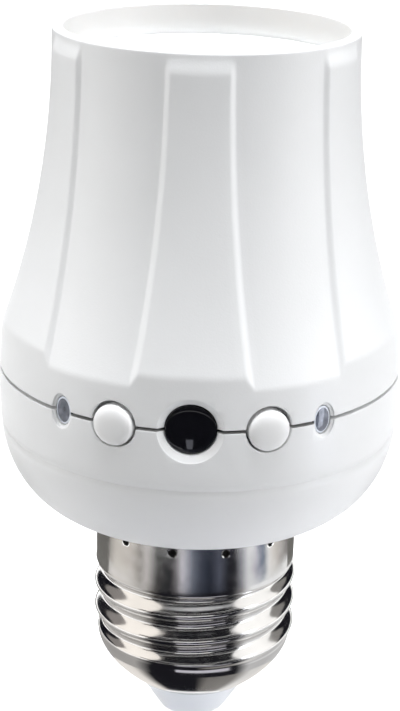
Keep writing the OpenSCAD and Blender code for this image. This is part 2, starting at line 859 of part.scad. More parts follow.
// Tinned legs of the sensor, the indicators, the resistor and the chip
module component_leads() {
    leg_r = 0.25;
    run = 0.8;
    half_pitch = 0.9;
    pad_t = 0.2;
    pad_w = 0.4;
    // A leg that leaves a part lying on the seam, then turns down to the board
    module bent_leg(angle, distance) {
        for (s = [-1, 1])
            facing_out(angle, distance - run)
                translate([s * half_pitch, 0, 0]) {
                    cylinder(h = run, r = leg_r, $fn = 16);
                    sphere(r = leg_r, $fn = 16);
                    rotate([90, 0, 0]) cylinder(h = seam_z - board_top_z, r = leg_r, $fn = 16);
                }
    }
    color("#c7c9cc") {
        bent_leg(0, sensor_back);
        for (s = [-1, 1]) {
            bent_leg(s * led_angle, led_back);
            translate([s * (resistor_len / 2 + run), resistor_y, resistor_z]) {
                rotate([0, -s * 90, 0]) cylinder(h = run, r = leg_r, $fn = 16);
                sphere(r = leg_r, $fn = 16);
                cylinder(h = board_z - resistor_z, r = leg_r, $fn = 16);
            }
        }
        for (i = [-3:2:3])
            for (s = [-1, 1])
                translate([i * chip_w / 8, chip_y + s * (chip_d + run) / 2, board_top_z + pad_t / 2])
                    cube([pad_w, run, pad_t], center = true);
    }
}

// A round wire along a cubic curve through four control points
function curve(c, t) =
    pow(1 - t, 3) * c[0] + 3 * pow(1 - t, 2) * t * c[1] + 3 * (1 - t) * t * t * c[2] + pow(t, 3) * c[3];
function slope_at(c, t) =
    3 * pow(1 - t, 2) * (c[1] - c[0]) + 6 * (1 - t) * t * (c[2] - c[1]) + 3 * t * t * (c[3] - c[2]);
module wire(c) {
    skin([for (j = [0:wire_steps])
        let (
            t = j / wire_steps,
            p = curve(c, t),
            d = unit(slope_at(c, t)),
            u = unit(cross(d, [0, 1, 0])),
            v = cross(d, u)
        )
        [for (i = [0:wire_sides - 1])
            let (a = 360 * i / wire_sides) p + wire_r * (cos(a) * u + sin(a) * v)]]);
}

module live_wire() {
    color("#7a4a2a")
    wire([[0, 0, stem_top_z], [0, 0, collar_z], [each live_at, bowl_z], [each live_at, board_z]]);
}

module neutral_wire() {
    shell_x = mean_r - thread_amp - sheet_t - wire_r - fit_gap;
    color("#3b6fb5")
    wire([
        [-shell_x, 0, thread_z + wire_run], [wire_run / 2 - shell_x, 0, collar_z],
        [each neutral_at, bowl_z], [each neutral_at, board_z]
    ]);
}

module lamp_live_wire() {
    color("#7a4a2a")
    wire([
        [each lamp_live_at, board_top_z], [each lamp_live_at, board_top_z + wire_run],
        [0, 0, floor_under_z - wire_run], [0, 0, floor_under_z - rivet_head_t]
    ]);
}

module lamp_neutral_wire() {
    color("#3b6fb5")
    wire([
        [each lamp_neutral_at, board_top_z], [each lamp_neutral_at, board_top_z + wire_run],
        [-terminal_r, 0, floor_under_z - wire_run], [-terminal_r, 0, floor_under_z - terminal_drop]
    ]);
}

upper_housing();
lower_housing();
socket_insert();
socket_shell();
socket_floor();
centre_contact();
contact_rivet();
shell_terminal();
base_shell();
base_insulator();
tip_contact();
circuit_board();
board_screws();
sensor_window();
light_sensor();
push_button(-button_angle);  // button_left
push_button(button_angle);  // button_right
switch_body(-button_angle);  // switch_left
switch_body(button_angle);  // switch_right
switch_plunger(-button_angle);  // plunger_left
switch_plunger(button_angle);  // plunger_right
indicator_lens(-led_angle);  // led_lens_left
indicator_lens(led_angle);  // led_lens_right
indicator_led(-led_angle);  // led_left
indicator_led(led_angle);  // led_right
controller_chip();
triac();
film_capacitor();
smoothing_capacitor();
fuse_resistor();
component_leads();
live_wire();
neutral_wire();
lamp_live_wire();
lamp_neutral_wire();
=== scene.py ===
import math

import bpy
import numpy as np
from mathutils import Matrix, Vector


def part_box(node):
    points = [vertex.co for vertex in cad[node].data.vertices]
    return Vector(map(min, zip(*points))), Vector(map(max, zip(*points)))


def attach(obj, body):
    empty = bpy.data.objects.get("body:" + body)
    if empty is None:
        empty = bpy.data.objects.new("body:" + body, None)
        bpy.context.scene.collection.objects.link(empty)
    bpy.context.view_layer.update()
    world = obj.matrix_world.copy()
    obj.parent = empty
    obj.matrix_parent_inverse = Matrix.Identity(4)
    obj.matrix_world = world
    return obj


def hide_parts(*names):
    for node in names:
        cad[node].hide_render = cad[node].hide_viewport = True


# A lamp adapter with a screw base below, a lamp socket above and a light sensor on its seam.
# The pieces follow in the order in which they are put together, from the base upwards.
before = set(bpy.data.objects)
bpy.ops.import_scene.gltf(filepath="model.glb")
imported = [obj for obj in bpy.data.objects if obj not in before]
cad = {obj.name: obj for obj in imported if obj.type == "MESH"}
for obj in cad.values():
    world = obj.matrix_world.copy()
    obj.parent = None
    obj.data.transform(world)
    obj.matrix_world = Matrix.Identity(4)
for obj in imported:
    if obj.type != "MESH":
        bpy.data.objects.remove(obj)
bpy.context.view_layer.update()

# Base shell. A cup of thin brass sheet, drawn and rolled with the lamp thread, then nickel plated.
# Its plain collar is pushed over the neck of the lower housing and locked there by punch marks.
MM = 0.001


def low_mm(node):
    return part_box(node)[0] / MM


def high_mm(node):
    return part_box(node)[1] / MM


NOSE_Z = low_mm("base_shell").z
BOWL_Z = high_mm("base_shell").z
COLLAR_H = 8.3
COLLAR_Z = BOWL_Z - COLLAR_H
THREAD_H = 10.8
THREAD_Z = COLLAR_Z - THREAD_H
COLLAR_R = 12.95
CREST_R = 13.2
THREAD_DEPTH = 1.1
THREAD_PITCH = 3.629
CREST_DROP = 2.05
MEAN_R = CREST_R - THREAD_DEPTH / 2
SHEET_T = 0.45
NOSE_R = 8
NOSE_TOP_R = MEAN_R + 0.1
NOSE_POWER = 1.65
DENT_COUNT = 12
DENT_R = 0.5
DENT_DEPTH = 0.5
DENT_FLAT = 0.55
DENT_REACH = 0.95
DENT_CLEAR = 1.25
DENT_LINES = 15
DENT_Z = BOWL_Z - 2.6
DENT_TURN = 4.3
CURL_H = 0.3
CURL_IN = 0.25


def new_piece(name, points, faces, unit=MM):
    """An object in the row frame; its points are in millimetres unless a unit is given."""
    mesh = bpy.data.meshes.new(name)
    mesh.from_pydata((np.asarray(points, float).reshape(-1, 3) * unit).tolist(), [], faces)
    mesh.update()
    piece = bpy.data.objects.new(name, mesh)
    bpy.context.scene.collection.objects.link(piece)
    return piece


def quads_between(count, around, loop):
    """Four-sided faces between neighbouring rings; loop joins the last ring to the first."""
    row, column = np.meshgrid(np.arange(count if loop else count - 1), np.arange(around), indexing="ij")
    beside = (column + 1) % around
    above = (row + 1) % count
    corners = [row * around + column, row * around + beside, above * around + beside, above * around + column]
    return np.stack(corners, -1).reshape(-1, 4).tolist()


def piece_from_rings(name, rings):
    """A ring-shaped body: its last ring meets its first one."""
    rings = np.asarray(rings, float)
    return new_piece(name, rings, quads_between(rings.shape[0], rings.shape[1], True))


def shade_smooth(piece, sharp_degrees=32):
    """Smooth shading with an edge kept wherever two faces meet at more than that angle."""
    piece.data.shade_smooth()
    piece.data.set_sharp_from_angle(angle=math.radians(sharp_degrees))


def ease(x):
    """Runs smoothly from 0 to 1 as x does."""
    x = np.clip(x, 0, 1)
    return x * x * (3 - 2 * x)


def rolled_thread_r(angle, z, low, high, mean, low_r, high_r, crest_z):
    """Radius of a rolled right-hand thread that fades to a plain ring at both ends."""
    turn = math.tau * (z - crest_z) / THREAD_PITCH
    formed = ease(np.minimum(z - low, high - z) / (THREAD_PITCH / 3))
    plain = np.where(z - low < high - z, low_r, high_r)
    return plain * (1 - formed) + (mean + THREAD_DEPTH / 2 * np.cos(angle - turn)) * formed


def nose_r(z):
    """Outer radius of the tapered nose."""
    down = np.clip((THREAD_Z - z) / (THREAD_Z - NOSE_Z), 0, 1)
    return NOSE_TOP_R - (NOSE_TOP_R - NOSE_R) * down**NOSE_POWER


def base_shell_r(angle, z):
    """Outer radius of the base shell: the nose, the thread and the collar with its punch marks."""
    crest_z = COLLAR_Z - CREST_DROP
    thread = rolled_thread_r(angle, z, THREAD_Z, COLLAR_Z, MEAN_R, NOSE_TOP_R, COLLAR_R, crest_z)
    radius = np.where(z < THREAD_Z, nose_r(z), np.where(z < COLLAR_Z, thread, COLLAR_R))
    step = math.tau / DENT_COUNT
    from_front = angle + math.pi / 2 - math.radians(DENT_TURN)
    across = ((from_front % step) - step / 2) * COLLAR_R
    away = np.hypot(across, z - DENT_Z) / DENT_R
    pressed = DENT_DEPTH * (1 - ease((away - DENT_FLAT) / DENT_FLAT))
    curled = CURL_IN * np.maximum(z - BOWL_Z + CURL_H, 0) / CURL_H
    return radius - pressed - curled


def dent_lines(centre, reach):
    """Close-set mesh lines across a punch mark."""
    return centre + np.linspace(-reach, reach, DENT_LINES)


shell_angles = []
for mark in range(DENT_COUNT):
    centre = math.radians((mark + 0.5) * 360 / DENT_COUNT + DENT_TURN) - math.pi / 2
    shell_angles += list(dent_lines(centre, DENT_REACH / COLLAR_R))
    plain_from = centre + DENT_CLEAR / COLLAR_R
    plain_to = centre + math.tau / DENT_COUNT - DENT_CLEAR / COLLAR_R
    shell_angles += list(np.linspace(plain_from, plain_to, 12))
shell_angles = np.array(shell_angles)
shell_heights = np.concatenate([
    np.linspace(NOSE_Z, THREAD_Z, 22, endpoint=False),
    np.linspace(THREAD_Z, COLLAR_Z, 96, endpoint=False),
    np.linspace(COLLAR_Z, DENT_Z - DENT_REACH, 8, endpoint=False),
    dent_lines(DENT_Z, DENT_REACH),
    np.linspace(DENT_Z + 1.3, BOWL_Z - CURL_H, 3, endpoint=False),
    np.linspace(BOWL_Z - CURL_H, BOWL_Z, 4),
])


def ring_at(angles, radii, z):
    """A level ring of points round the lamp's axis."""
    return np.stack([radii * np.cos(angles), radii * np.sin(angles), np.full_like(angles, z)], -1)


shell_rings = [ring_at(shell_angles, base_shell_r(shell_angles, z), z) for z in shell_heights]
for z in shell_heights[::-3]:
    shell_rings.append(ring_at(shell_angles, base_shell_r(shell_angles, z) - SHEET_T, z))
base_shell = piece_from_rings("base_shell_rolled", shell_rings)
shade_smooth(base_shell, 50)


def shader_of(material):
    return material.node_tree.nodes["Principled BSDF"]


def new_finish(name, colour, roughness, metallic=0.0):
    """A plain finish; its clouding, satin and relief are added by the calls that follow it."""
    material = bpy.data.materials.new(name)
    material.use_nodes = True
    shader = shader_of(material)
    shader.inputs["Base Color"].default_value = (*colour, 1)
    shader.inputs["Roughness"].default_value = roughness
    shader.inputs["Metallic"].default_value = metallic
    material.diffuse_color = (*colour, 1)
    return material


def noise_in(material, per_metre, detail):
    """A cloud of values from 0 to 1 with about that many features to the metre."""
    tree = material.node_tree
    place = tree.nodes.new("ShaderNodeTexCoord")
    noise = tree.nodes.new("ShaderNodeTexNoise")
    noise.inputs["Scale"].default_value = per_metre
    noise.inputs["Detail"].default_value = detail
    tree.links.new(place.outputs["Object"], noise.inputs["Vector"])
    return noise.outputs["Fac"]


CLOUD_LOW = 0.3
CLOUD_HIGH = 0.7


def vary_roughness(material, per_metre, low, high, detail=3.0):
    """Satin that runs from low to high with the clouds."""
    value = noise_in(material, per_metre, detail)
    tree = material.node_tree
    spread = tree.nodes.new("ShaderNodeMapRange")
    spread.inputs["From Min"].default_value = CLOUD_LOW
    spread.inputs["From Max"].default_value = CLOUD_HIGH
    spread.inputs["To Min"].default_value = low
    spread.inputs["To Max"].default_value = high
    tree.links.new(value, spread.inputs["Value"])
    tree.links.new(spread.outputs["Result"], shader_of(material).inputs["Roughness"])


def vary_colour(material, per_metre, one, other, detail=3.0):
    """Colour that runs from one to the other with the clouds."""
    value = noise_in(material, per_metre, detail)
    tree = material.node_tree
    ramp = tree.nodes.new("ShaderNodeValToRGB")
    for mark, place, colour in zip(ramp.color_ramp.elements, (CLOUD_LOW, CLOUD_HIGH), (one, other)):
        mark.position = place
        mark.color = (*colour, 1)
    tree.links.new(value, ramp.inputs["Fac"])
    tree.links.new(ramp.outputs["Color"], shader_of(material).inputs["Base Color"])


def add_relief(material, per_metre, height_mm, detail=3.0):
    """Fine relief of that height; a second call lies on top of the first."""
    value = noise_in(material, per_metre, detail)
    tree = material.node_tree
    shader = shader_of(material)
    bump = tree.nodes.new("ShaderNodeBump")
    bump.inputs["Distance"].default_value = height_mm * MM
    tree.links.new(value, bump.inputs["Height"])
    if shader.inputs["Normal"].is_linked:
        tree.links.new(shader.inputs["Normal"].links[0].from_socket, bump.inputs["Normal"])
    tree.links.new(bump.outputs["Normal"], shader.inputs["Normal"])


nickel = new_finish("nickel_plated_sheet", (0.72, 0.71, 0.7), 0.09, metallic=1.0)
vary_roughness(nickel, 700, 0.09, 0.18)
vary_colour(nickel, 160, (0.67, 0.66, 0.645), (0.77, 0.76, 0.745))
add_relief(nickel, 220, 0.016, 1.0)
base_shell.data.materials.append(nickel)

# Painted shade: the bottom of each punch mark gets a near-black, dull material that stands in for the shade
# in the deep marks.
punch_mark_painted_shade = new_finish("painted_shade_punch_marks", (0.012, 0.011, 0.01), 0.6)
vary_roughness(punch_mark_painted_shade, 2500, 0.5, 0.75)
shader_of(punch_mark_painted_shade).inputs["Specular IOR Level"].default_value = 0.15
base_shell.data.materials.append(punch_mark_painted_shade)
# Faces pressed deeper than this share of a mark's depth get the painted shade.
PAINTED_SHADE_FROM = 0.04
outer_faces = (len(shell_heights) - 1) * len(shell_angles)
for face in base_shell.data.polygons[:outer_faces]:
    x, y, z = face.center / MM
    if abs(z - DENT_Z) < DENT_R and math.hypot(x, y) < COLLAR_R - PAINTED_SHADE_FROM * DENT_DEPTH:
        face.material_index = 1
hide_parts("base_shell")
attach(base_shell, "housing")

# Insulator. A white glazed bead pressed into the open end of the nose; it keeps the tip contact
# apart from the shell. It is turned from the same outline as the seat that holds it.
STEM_R = 1.5
FIT = 0.1
TIP_H = low_mm("base_insulator").z
BEAD_LOW_Z = TIP_H / 2
BEAD_FLARE = 1.1
ARC_STEPS = 5
INSULATOR_TOP_Z = high_mm("base_insulator").z
INSULATOR_END_R = 4.2
INSULATOR_TOP_R = 7.35


def rounded(corners):
    """Outline of (radius, height) points; a corner (radius, height, round) becomes an arc."""
    points = []
    for k, corner in enumerate(corners):
        here = np.array(corner[:2], float)
        if len(corner) == 2:
            points.append(here)
            continue
        before = np.array(corners[k - 1][:2], float) - here
        after = np.array(corners[(k + 1) % len(corners)][:2], float) - here
        lengths = np.linalg.norm(before), np.linalg.norm(after)
        before, after = before / lengths[0], after / lengths[1]
        half = math.acos(np.clip(before @ after, -1, 1)) / 2
        reach = min(corner[2] / math.tan(half), 0.48 * lengths[0], 0.48 * lengths[1])
        for t in np.linspace(0, 1, ARC_STEPS + 1):
            points.append(here + before * reach * (1 - t) ** 2 + after * reach * t**2)
    return points


def piece_between_poles(name, rings, first, last):
    """Rings closed by a fan of triangles at each end."""
    rings = np.asarray(rings, float)
    count, around = rings.shape[:2]
    faces = quads_between(count, around, False)
    top = (count - 1) * around
    for i in range(around):
        k = (i + 1) % around
        faces.append([k, i, count * around])
        faces.append([top + i, top + k, count * around + 1])
    return new_piece(name, np.concatenate([rings.reshape(-1, 3), [first, last]]), faces)


def turned(name, outline, sides=96):
    """A body of revolution round the lamp's axis; an outline from axis to axis is closed there."""
    outline = np.asarray(outline, float)
    angles = np.linspace(0, math.tau, sides, endpoint=False)
    solid = outline[0][0] == 0 and outline[-1][0] == 0
    rings = [ring_at(angles, r, z) for r, z in (outline[1:-1] if solid else outline)]
    if not solid:
        return piece_from_rings(name, rings)
    return piece_between_poles(name, rings, [0, 0, outline[0][1]], [0, 0, outline[-1][1]])


bead_low = [(INSULATOR_END_R - 0.4, BEAD_LOW_Z, 0.3), (INSULATOR_END_R, BEAD_LOW_Z + 0.25, 0.2)]
bead_side = []
for d in np.linspace(0.92, 0, 14):
    flare = INSULATOR_END_R + (INSULATOR_TOP_R - INSULATOR_END_R) * (1 - d**BEAD_FLARE)
    bead_side.append((flare, NOSE_Z - FIT - (NOSE_Z - FIT - BEAD_LOW_Z) * d))
bead_seat = [(nose_r(z) - (SHEET_T + FIT), z) for z in np.linspace(NOSE_Z + 0.2, INSULATOR_TOP_Z, 8)]
insulator = turned(
    "glazed_insulator",
    rounded([(STEM_R + FIT, BEAD_LOW_Z)] + bead_low + bead_side + [(NOSE_R - SHEET_T - FIT, NOSE_Z - FIT)]
            + bead_seat + [(STEM_R + FIT, INSULATOR_TOP_Z)]),
)
shade_smooth(insulator, 40)
glazed_white = new_finish("glazed_white", (0.84, 0.87, 0.92), 0.35)
vary_roughness(glazed_white, 900, 0.28, 0.42)
vary_colour(glazed_white, 120, (0.82, 0.85, 0.9), (0.86, 0.89, 0.94))
add_relief(glazed_white, 350, 0.008, 1.0)
insulator.data.materials.append(glazed_white)
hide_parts("base_insulator")
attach(insulator, "housing")

# Tip contact. A small domed cup of plated brass under the bead, with the stem that the live wire
# is soldered to; the drop of solder shows at the middle of the dome.
STEM_TOP_Z = high_mm("tip_contact").z
TIP_R = INSULATOR_END_R - 1.1
DOME_H = 0.9 * BEAD_LOW_Z
SOLDER_R = 0.9
SOLDER_H = 0.02
dome = [(0, 0), (SOLDER_R, SOLDER_H)]
for a in np.linspace(20, 90, 12):
    dome.append((TIP_R * math.sin(math.radians(a)), DOME_H * (1 - math.cos(math.radians(a)))))
tip_contact = turned(
    "tip_contact_cup",
    rounded(dome + [(TIP_R, BEAD_LOW_Z), (STEM_R, BEAD_LOW_Z), (STEM_R, STEM_TOP_Z, 0.3), (0, STEM_TOP_Z)]),
    64,
)
shade_smooth(tip_contact, 40)
solder = new_finish("solder_and_plating", (0.72, 0.71, 0.7), 0.25, metallic=1.0)
vary_roughness(solder, 900, 0.16, 0.38)
vary_colour(solder, 500, (0.64, 0.63, 0.62), (0.77, 0.76, 0.74))
add_relief(solder, 700, 0.03)
tip_contact.data.materials.append(solder)
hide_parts("tip_contact")
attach(tip_contact, "housing")

# Lower housing. The bowl is one moulding of white plastic with a fine satin grain; its neck goes
# into the base shell, three posts carry the circuit board, and its rim holds half of each opening.
BELLY_R = 25.2
WALL = 1.3
SEAM_GAP = 0.4
SEAM_Z = high_mm("lower_housing").z + SEAM_GAP / 2
BAND_H = 4.8
BAND_DRAFT = 0.35
STRAIGHT_H = 5
UNDERSIDE_R = 14
BOWL_POWER = 2.2
GROOVE_DROP = 7.5
GROOVE_DEPTH = 0.28
GROOVE_W = 0.42
EDGE_ROUND = 0.13
NECK_LOW_Z = low_mm("lower_housing").z
NECK_R = COLLAR_R - SHEET_T - FIT
NECK_INNER_R = NECK_R - 1.5
LIP_LOW_Z = SEAM_Z - 3.9
LIP_T = 0.9
SHOULDER_T = 1.2
INNER_R = BELLY_R - WALL
LIP_R = INNER_R - FIT
BOARD_Z = low_mm("circuit_board").z
BOARD_SCREW_ANGLES = (140, 220)
POST_ANGLES = (140, 220, 0)
POST_R = 2.6
POST_RING_R = INNER_R - LIP_T - 4.8
SCREW_HOLE_R = 1.15
SCREW_LEN = 8

core_z = SEAM_Z - STRAIGHT_H
bowl_span = BELLY_R - UNDERSIDE_R
bowl_outline = [(NECK_INNER_R, NECK_LOW_Z), (NECK_R, NECK_LOW_Z, 0.2)]
bowl_outline += [(NECK_R, BOWL_Z), (UNDERSIDE_R, BOWL_Z)]
for a in np.radians(np.linspace(87, 0, 60)):
    radius = UNDERSIDE_R + bowl_span * math.cos(a) ** (2 / BOWL_POWER)
    height = core_z - (core_z - BOWL_Z) * math.sin(a) ** (2 / BOWL_POWER)
    hollow = GROOVE_DEPTH * math.exp(-(((height - (SEAM_Z - GROOVE_DROP)) / GROOVE_W) ** 2))
    bowl_outline.append((radius - hollow, height))
bowl_outline += [(BELLY_R, core_z + 1), (BELLY_R, core_z + 2.5)]
bowl_outline += [(BELLY_R, SEAM_Z - SEAM_GAP / 2, EDGE_ROUND), (INNER_R, SEAM_Z - SEAM_GAP / 2, 0.1)]
bowl_outline += [(INNER_R, LIP_LOW_Z), (LIP_R - LIP_T, LIP_LOW_Z)]
bowl_outline += [(LIP_R - LIP_T, LIP_LOW_Z - SHOULDER_T), (INNER_R, LIP_LOW_Z - SHOULDER_T)]
for a in np.radians(np.linspace(5, 90, 24)):
    height = core_z - (core_z - BOWL_Z - WALL) * math.sin(a) ** (2 / BOWL_POWER)
    bowl_outline.append((UNDERSIDE_R + (bowl_span - WALL) * max(math.cos(a), 0) ** (2 / BOWL_POWER), height))
bowl_outline.append((NECK_INNER_R, BOWL_Z + WALL))
lower_housing = turned("lower_housing_bowl", rounded(bowl_outline), 192)


def bowl_height(radius):
    """Height of the bowl's outer surface at a distance from the axis."""
    across = np.clip((radius - UNDERSIDE_R) / bowl_span, 0, 1)
    return core_z - (core_z - BOWL_Z) * (1 - across**BOWL_POWER) ** (1 / BOWL_POWER)


def outward_at(turn_degrees):
    """Direction from the lamp's axis outwards; 0 is the front and grows to the right."""
    turn = math.radians(turn_degrees)
    return np.array([math.sin(turn), -math.cos(turn), 0])


def post(name, turn_degrees, radius, high, low=None):
    """A round bar on the circle of the board's screws; without a low end it grows from the bowl."""
    centre = POST_RING_R * outward_at(turn_degrees)
    angles = np.linspace(0, math.tau, 40, endpoint=False)
    foot = ring_at(angles, radius, 0) + centre
    head = foot + [0, 0, high]
    foot[:, 2] = bowl_height(np.hypot(foot[:, 0], foot[:, 1])) + WALL / 2 if low is None else low
    return piece_between_poles(name, [foot, head], foot.mean(0), centre + [0, 0, high])


def cut_with(piece, tools, operation):
    """Joins or cuts the piece with each tool and takes the tools away."""
    for tool in tools:
        step = piece.modifiers.new(tool.name, "BOOLEAN")
        step.object = tool
        step.operation = operation
        step.solver = "EXACT"
    shaped = piece.evaluated_get(bpy.context.evaluated_depsgraph_get())
    mesh = bpy.data.meshes.new_from_object(shaped)
    piece.modifiers.clear()
    piece.data = mesh
    for tool in tools:
        bpy.data.objects.remove(tool)


def housing_r(z):
    """Radius of the housing's skin near the seam: straight below it, drafted above it."""
    return BELLY_R - BAND_DRAFT * np.maximum(z - SEAM_Z, 0) / BAND_H


LED_W = 2.4
LED_H = 3.6
RING_START = 0.017
CONTROL_SIDES = 72
ROUND_TO = math.radians(66)
TOOL_FLARE = 0.7
BEVEL_FOOT = 0.06


def ring_facing_out(turn_degrees, radius, distance, sides, on_skin=False, narrow=0.0, drop=0.0):
    """A ring on the seam round an outward axis; on_skin bends it along the skin, narrow makes it oval."""
    outward = outward_at(turn_degrees)
    sideways = np.array([-outward[1], outward[0], 0])
    angles = np.linspace(0, math.tau, sides, endpoint=False) + RING_START
    across = (radius - narrow * min(1, radius / (LED_H / 2))) * np.cos(angles)
    up = radius * np.sin(angles)
    out = np.sqrt(housing_r(SEAM_Z + up) ** 2 - across**2) + distance if on_skin else np.full(sides, distance)
    heights = SEAM_Z - drop + up
    return outward * out[:, None] + sideways * across[:, None] + np.array([0, 0, 1]) * heights[:, None]


def opening_tool(name, turn_degrees, radius, bevel, narrow=0.0):
    """What cuts an opening with a bevel and a softly rounded edge through the skin."""
    profile = [(radius, -3 * WALL)]
    if bevel:
        profile += [(radius, -bevel - BEVEL_FOOT), (radius + BEVEL_FOOT / 2, -bevel + BEVEL_FOOT / 3)]
    mouth = radius + bevel
    for t in np.linspace(0, ROUND_TO, 5):
        profile.append((mouth + OPENING_ROUND * (1 - math.cos(t)), -OPENING_ROUND * (1 - math.sin(t))))
    profile.append((profile[-1][0] + TOOL_FLARE, profile[-1][1] + TOOL_FLARE / math.tan(ROUND_TO)))
    rings = [ring_facing_out(turn_degrees, r, d, CONTROL_SIDES, True, narrow) for r, d in profile]
    beyond = rings[-1].mean(0) + outward_at(turn_degrees)
    return piece_between_poles(name, rings, rings[0].mean(0), beyond)


BUTTON_ANGLE = 20.95
BUTTON_R = 2.53
BUTTON_GAP = 0.27
WINDOW_R = 3.05
WINDOW_BEVEL = 0.75
LED_ANGLE = 37.5
LED_BEVEL = 0.3
LED_NARROW = (LED_H - LED_W) / 2
OPENING_ROUND = 0.14


def control_openings():
    """Tools for the window, buttons and indicators; each housing keeps half of every opening."""
    tools = [opening_tool("window_tool", 0, WINDOW_R, WINDOW_BEVEL)]
    for side in (-1, 1):
        tools.append(opening_tool("button_tool", side * BUTTON_ANGLE, BUTTON_R + BUTTON_GAP, 0))
        tools.append(opening_tool("indicator_tool", side * LED_ANGLE, LED_H / 2, LED_BEVEL, LED_NARROW))
    return tools


cut_with(lower_housing, [post("post", a, POST_R, BOARD_Z) for a in POST_ANGLES], "UNION")
screw_holes = [post("hole", a, SCREW_HOLE_R, BOARD_Z + 1, BOARD_Z - SCREW_LEN) for a in BOARD_SCREW_ANGLES]
cut_with(lower_housing, screw_holes + control_openings(), "DIFFERENCE")
shade_smooth(lower_housing)


def satin_plastic(name, colour):
    """White moulding compound: slight clouding, an uneven satin and a fine eroded grain."""
    finish = new_finish(name, colour, 0.42)
    darker = tuple(c * 0.975 for c in colour)
    vary_colour(finish, 90, darker, colour)
    vary_roughness(finish, 1500, 0.36, 0.5)
    add_relief(finish, 5200, 0.012, 2.0)
    add_relief(finish, 900, 0.006, 2.0)
    return finish


housing_white = satin_plastic("satin_white_housing", (0.82, 0.825, 0.83))
lower_housing.data.materials.append(housing_white)
# Painted shade: a mid grey for the walls inside the seam, standing in for the shade in the narrow gap.
seam_painted_shade = satin_plastic("seam_walls_painted_shade", (0.5, 0.5, 0.5))


def paint_seam_shade(moulding):
    """Paints shade grey on the walls of the seam between the indicators, where no lip stands behind it, so
    that the seam reads dark.
    """
    moulding.data.materials.append(seam_painted_shade)
    for face in moulding.data.polygons:
        x, y, z = face.center / MM
        radius = math.hypot(x, y)
        wall = abs(z - SEAM_Z) < SEAM_GAP / 2 + 0.02 and radius < BELLY_R - EDGE_ROUND - 0.01
        if wall and abs(math.degrees(math.atan2(x, -y))) < LED_ANGLE:
            face.material_index = 1


paint_seam_shade(lower_housing)
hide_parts("lower_housing")
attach(lower_housing, "housing")

# Circuit board. A disc of green laminate that lies on the posts and is held by two plated
# screws; it closes off the bowl and carries every electrical part.
def dress(node, material, edge_mm=0.0):
    """Gives a piece from the frame its finish and, where asked, broken edges."""
    piece = cad[node]
    for place in piece.material_slots:
        place.material = material
    if edge_mm:
        bevel = piece.modifiers.new("broken_edges", "BEVEL")
        bevel.width = edge_mm * MM
        bevel.segments = 2
        bevel.limit_method = "ANGLE"
        bevel.angle_limit = math.radians(50)


laminate = new_finish("green_laminate", (0.05, 0.22, 0.09), 0.35)
vary_colour(laminate, 400, (0.035, 0.17, 0.07), (0.06, 0.26, 0.11))
vary_roughness(laminate, 1200, 0.3, 0.45)
add_relief(laminate, 2500, 0.01)
dress("circuit_board", laminate)
plated_steel = new_finish("plated_steel", (0.62, 0.63, 0.64), 0.3, metallic=1.0)
vary_roughness(plated_steel, 1500, 0.22, 0.42)
add_relief(plated_steel, 3000, 0.002)
dress("board_screws", plated_steel, 0.15)

# Parts soldered to the board: the controller, the triac, two capacitors and a fusible resistor,
# in black moulding, red lacquer, a dark sleeve and blue-grey lacquer, all on tinned legs.
component_black = new_finish("component_black", (0.03, 0.03, 0.034), 0.5)
vary_roughness(component_black, 2500, 0.42, 0.6)
vary_colour(component_black, 600, (0.022, 0.022, 0.026), (0.045, 0.045, 0.05))
add_relief(component_black, 5000, 0.01)
dress("controller_chip", component_black, 0.12)
dress("triac", component_black, 0.2)


def lacquer(name, colour):
    """A dipped or shrunk coat: glossy, uneven and a little wavy."""
    finish = new_finish(name, colour, 0.22)
    vary_colour(finish, 300, tuple(c * 0.8 for c in colour), colour)
    vary_roughness(finish, 900, 0.16, 0.32)
    add_relief(finish, 450, 0.03)
    return finish


dress("film_capacitor", lacquer("dipped_red_lacquer", (0.45, 0.05, 0.03)), 0.9)
dress("smoothing_capacitor", lacquer("shrunk_sleeve", (0.03, 0.05, 0.1)), 0.15)
dress("fuse_resistor", lacquer("resistor_lacquer", (0.2, 0.36, 0.45)), 0.4)
tinned = new_finish("tinned_copper", (0.74, 0.75, 0.76), 0.25, metallic=1.0)
vary_roughness(tinned, 2000, 0.18, 0.4)
add_relief(tinned, 2500, 0.002)
dress("component_leads", tinned)

# Light sensor. A dark moulded phototransistor that looks out through the window, its stepped
# body lying on the seam with its two legs turned down to the board.
sensor_black = new_finish("sensor_moulding", (0.02, 0.02, 0.024), 0.15)
vary_roughness(sensor_black, 1200, 0.1, 0.22)
add_relief(sensor_black, 1500, 0.01)
dress("light_sensor", sensor_black, 0.15)

# Sensor window. A dark tinted, glossy cap with a low dome, pushed into its opening from inside
# until its flange meets the wall.
LOOSE = 0.25
CAP_FLANGE_T = 0.8
CAP_BACK = INNER_R - LOOSE - CAP_FLANGE_T
FLANGE_FRONT = INNER_R - LOOSE - LOOSE
WINDOW_LAP = 0.7
CONTROL_LAP = 0.5
WINDOW_FRONT_R = BELLY_R - WINDOW_BEVEL + 0.2
WINDOW_DOME = 0.3


def turned_facing_out(name, turn_degrees, outline, sides=CONTROL_SIDES, narrow=0.0, drop=0.0):
    """A round or oval body on the seam; its outline is (radius, distance from the lamp's axis)."""
    rings = [ring_facing_out(turn_degrees, r, d, sides, False, narrow, drop) for r, d in outline[1:-1]]
    level = np.array([0, 0, SEAM_Z - drop])
    ends = [outward_at(turn_degrees) * d + level for d in (outline[0][1], outline[-1][1])]
    return piece_between_poles(name, rings, *ends)


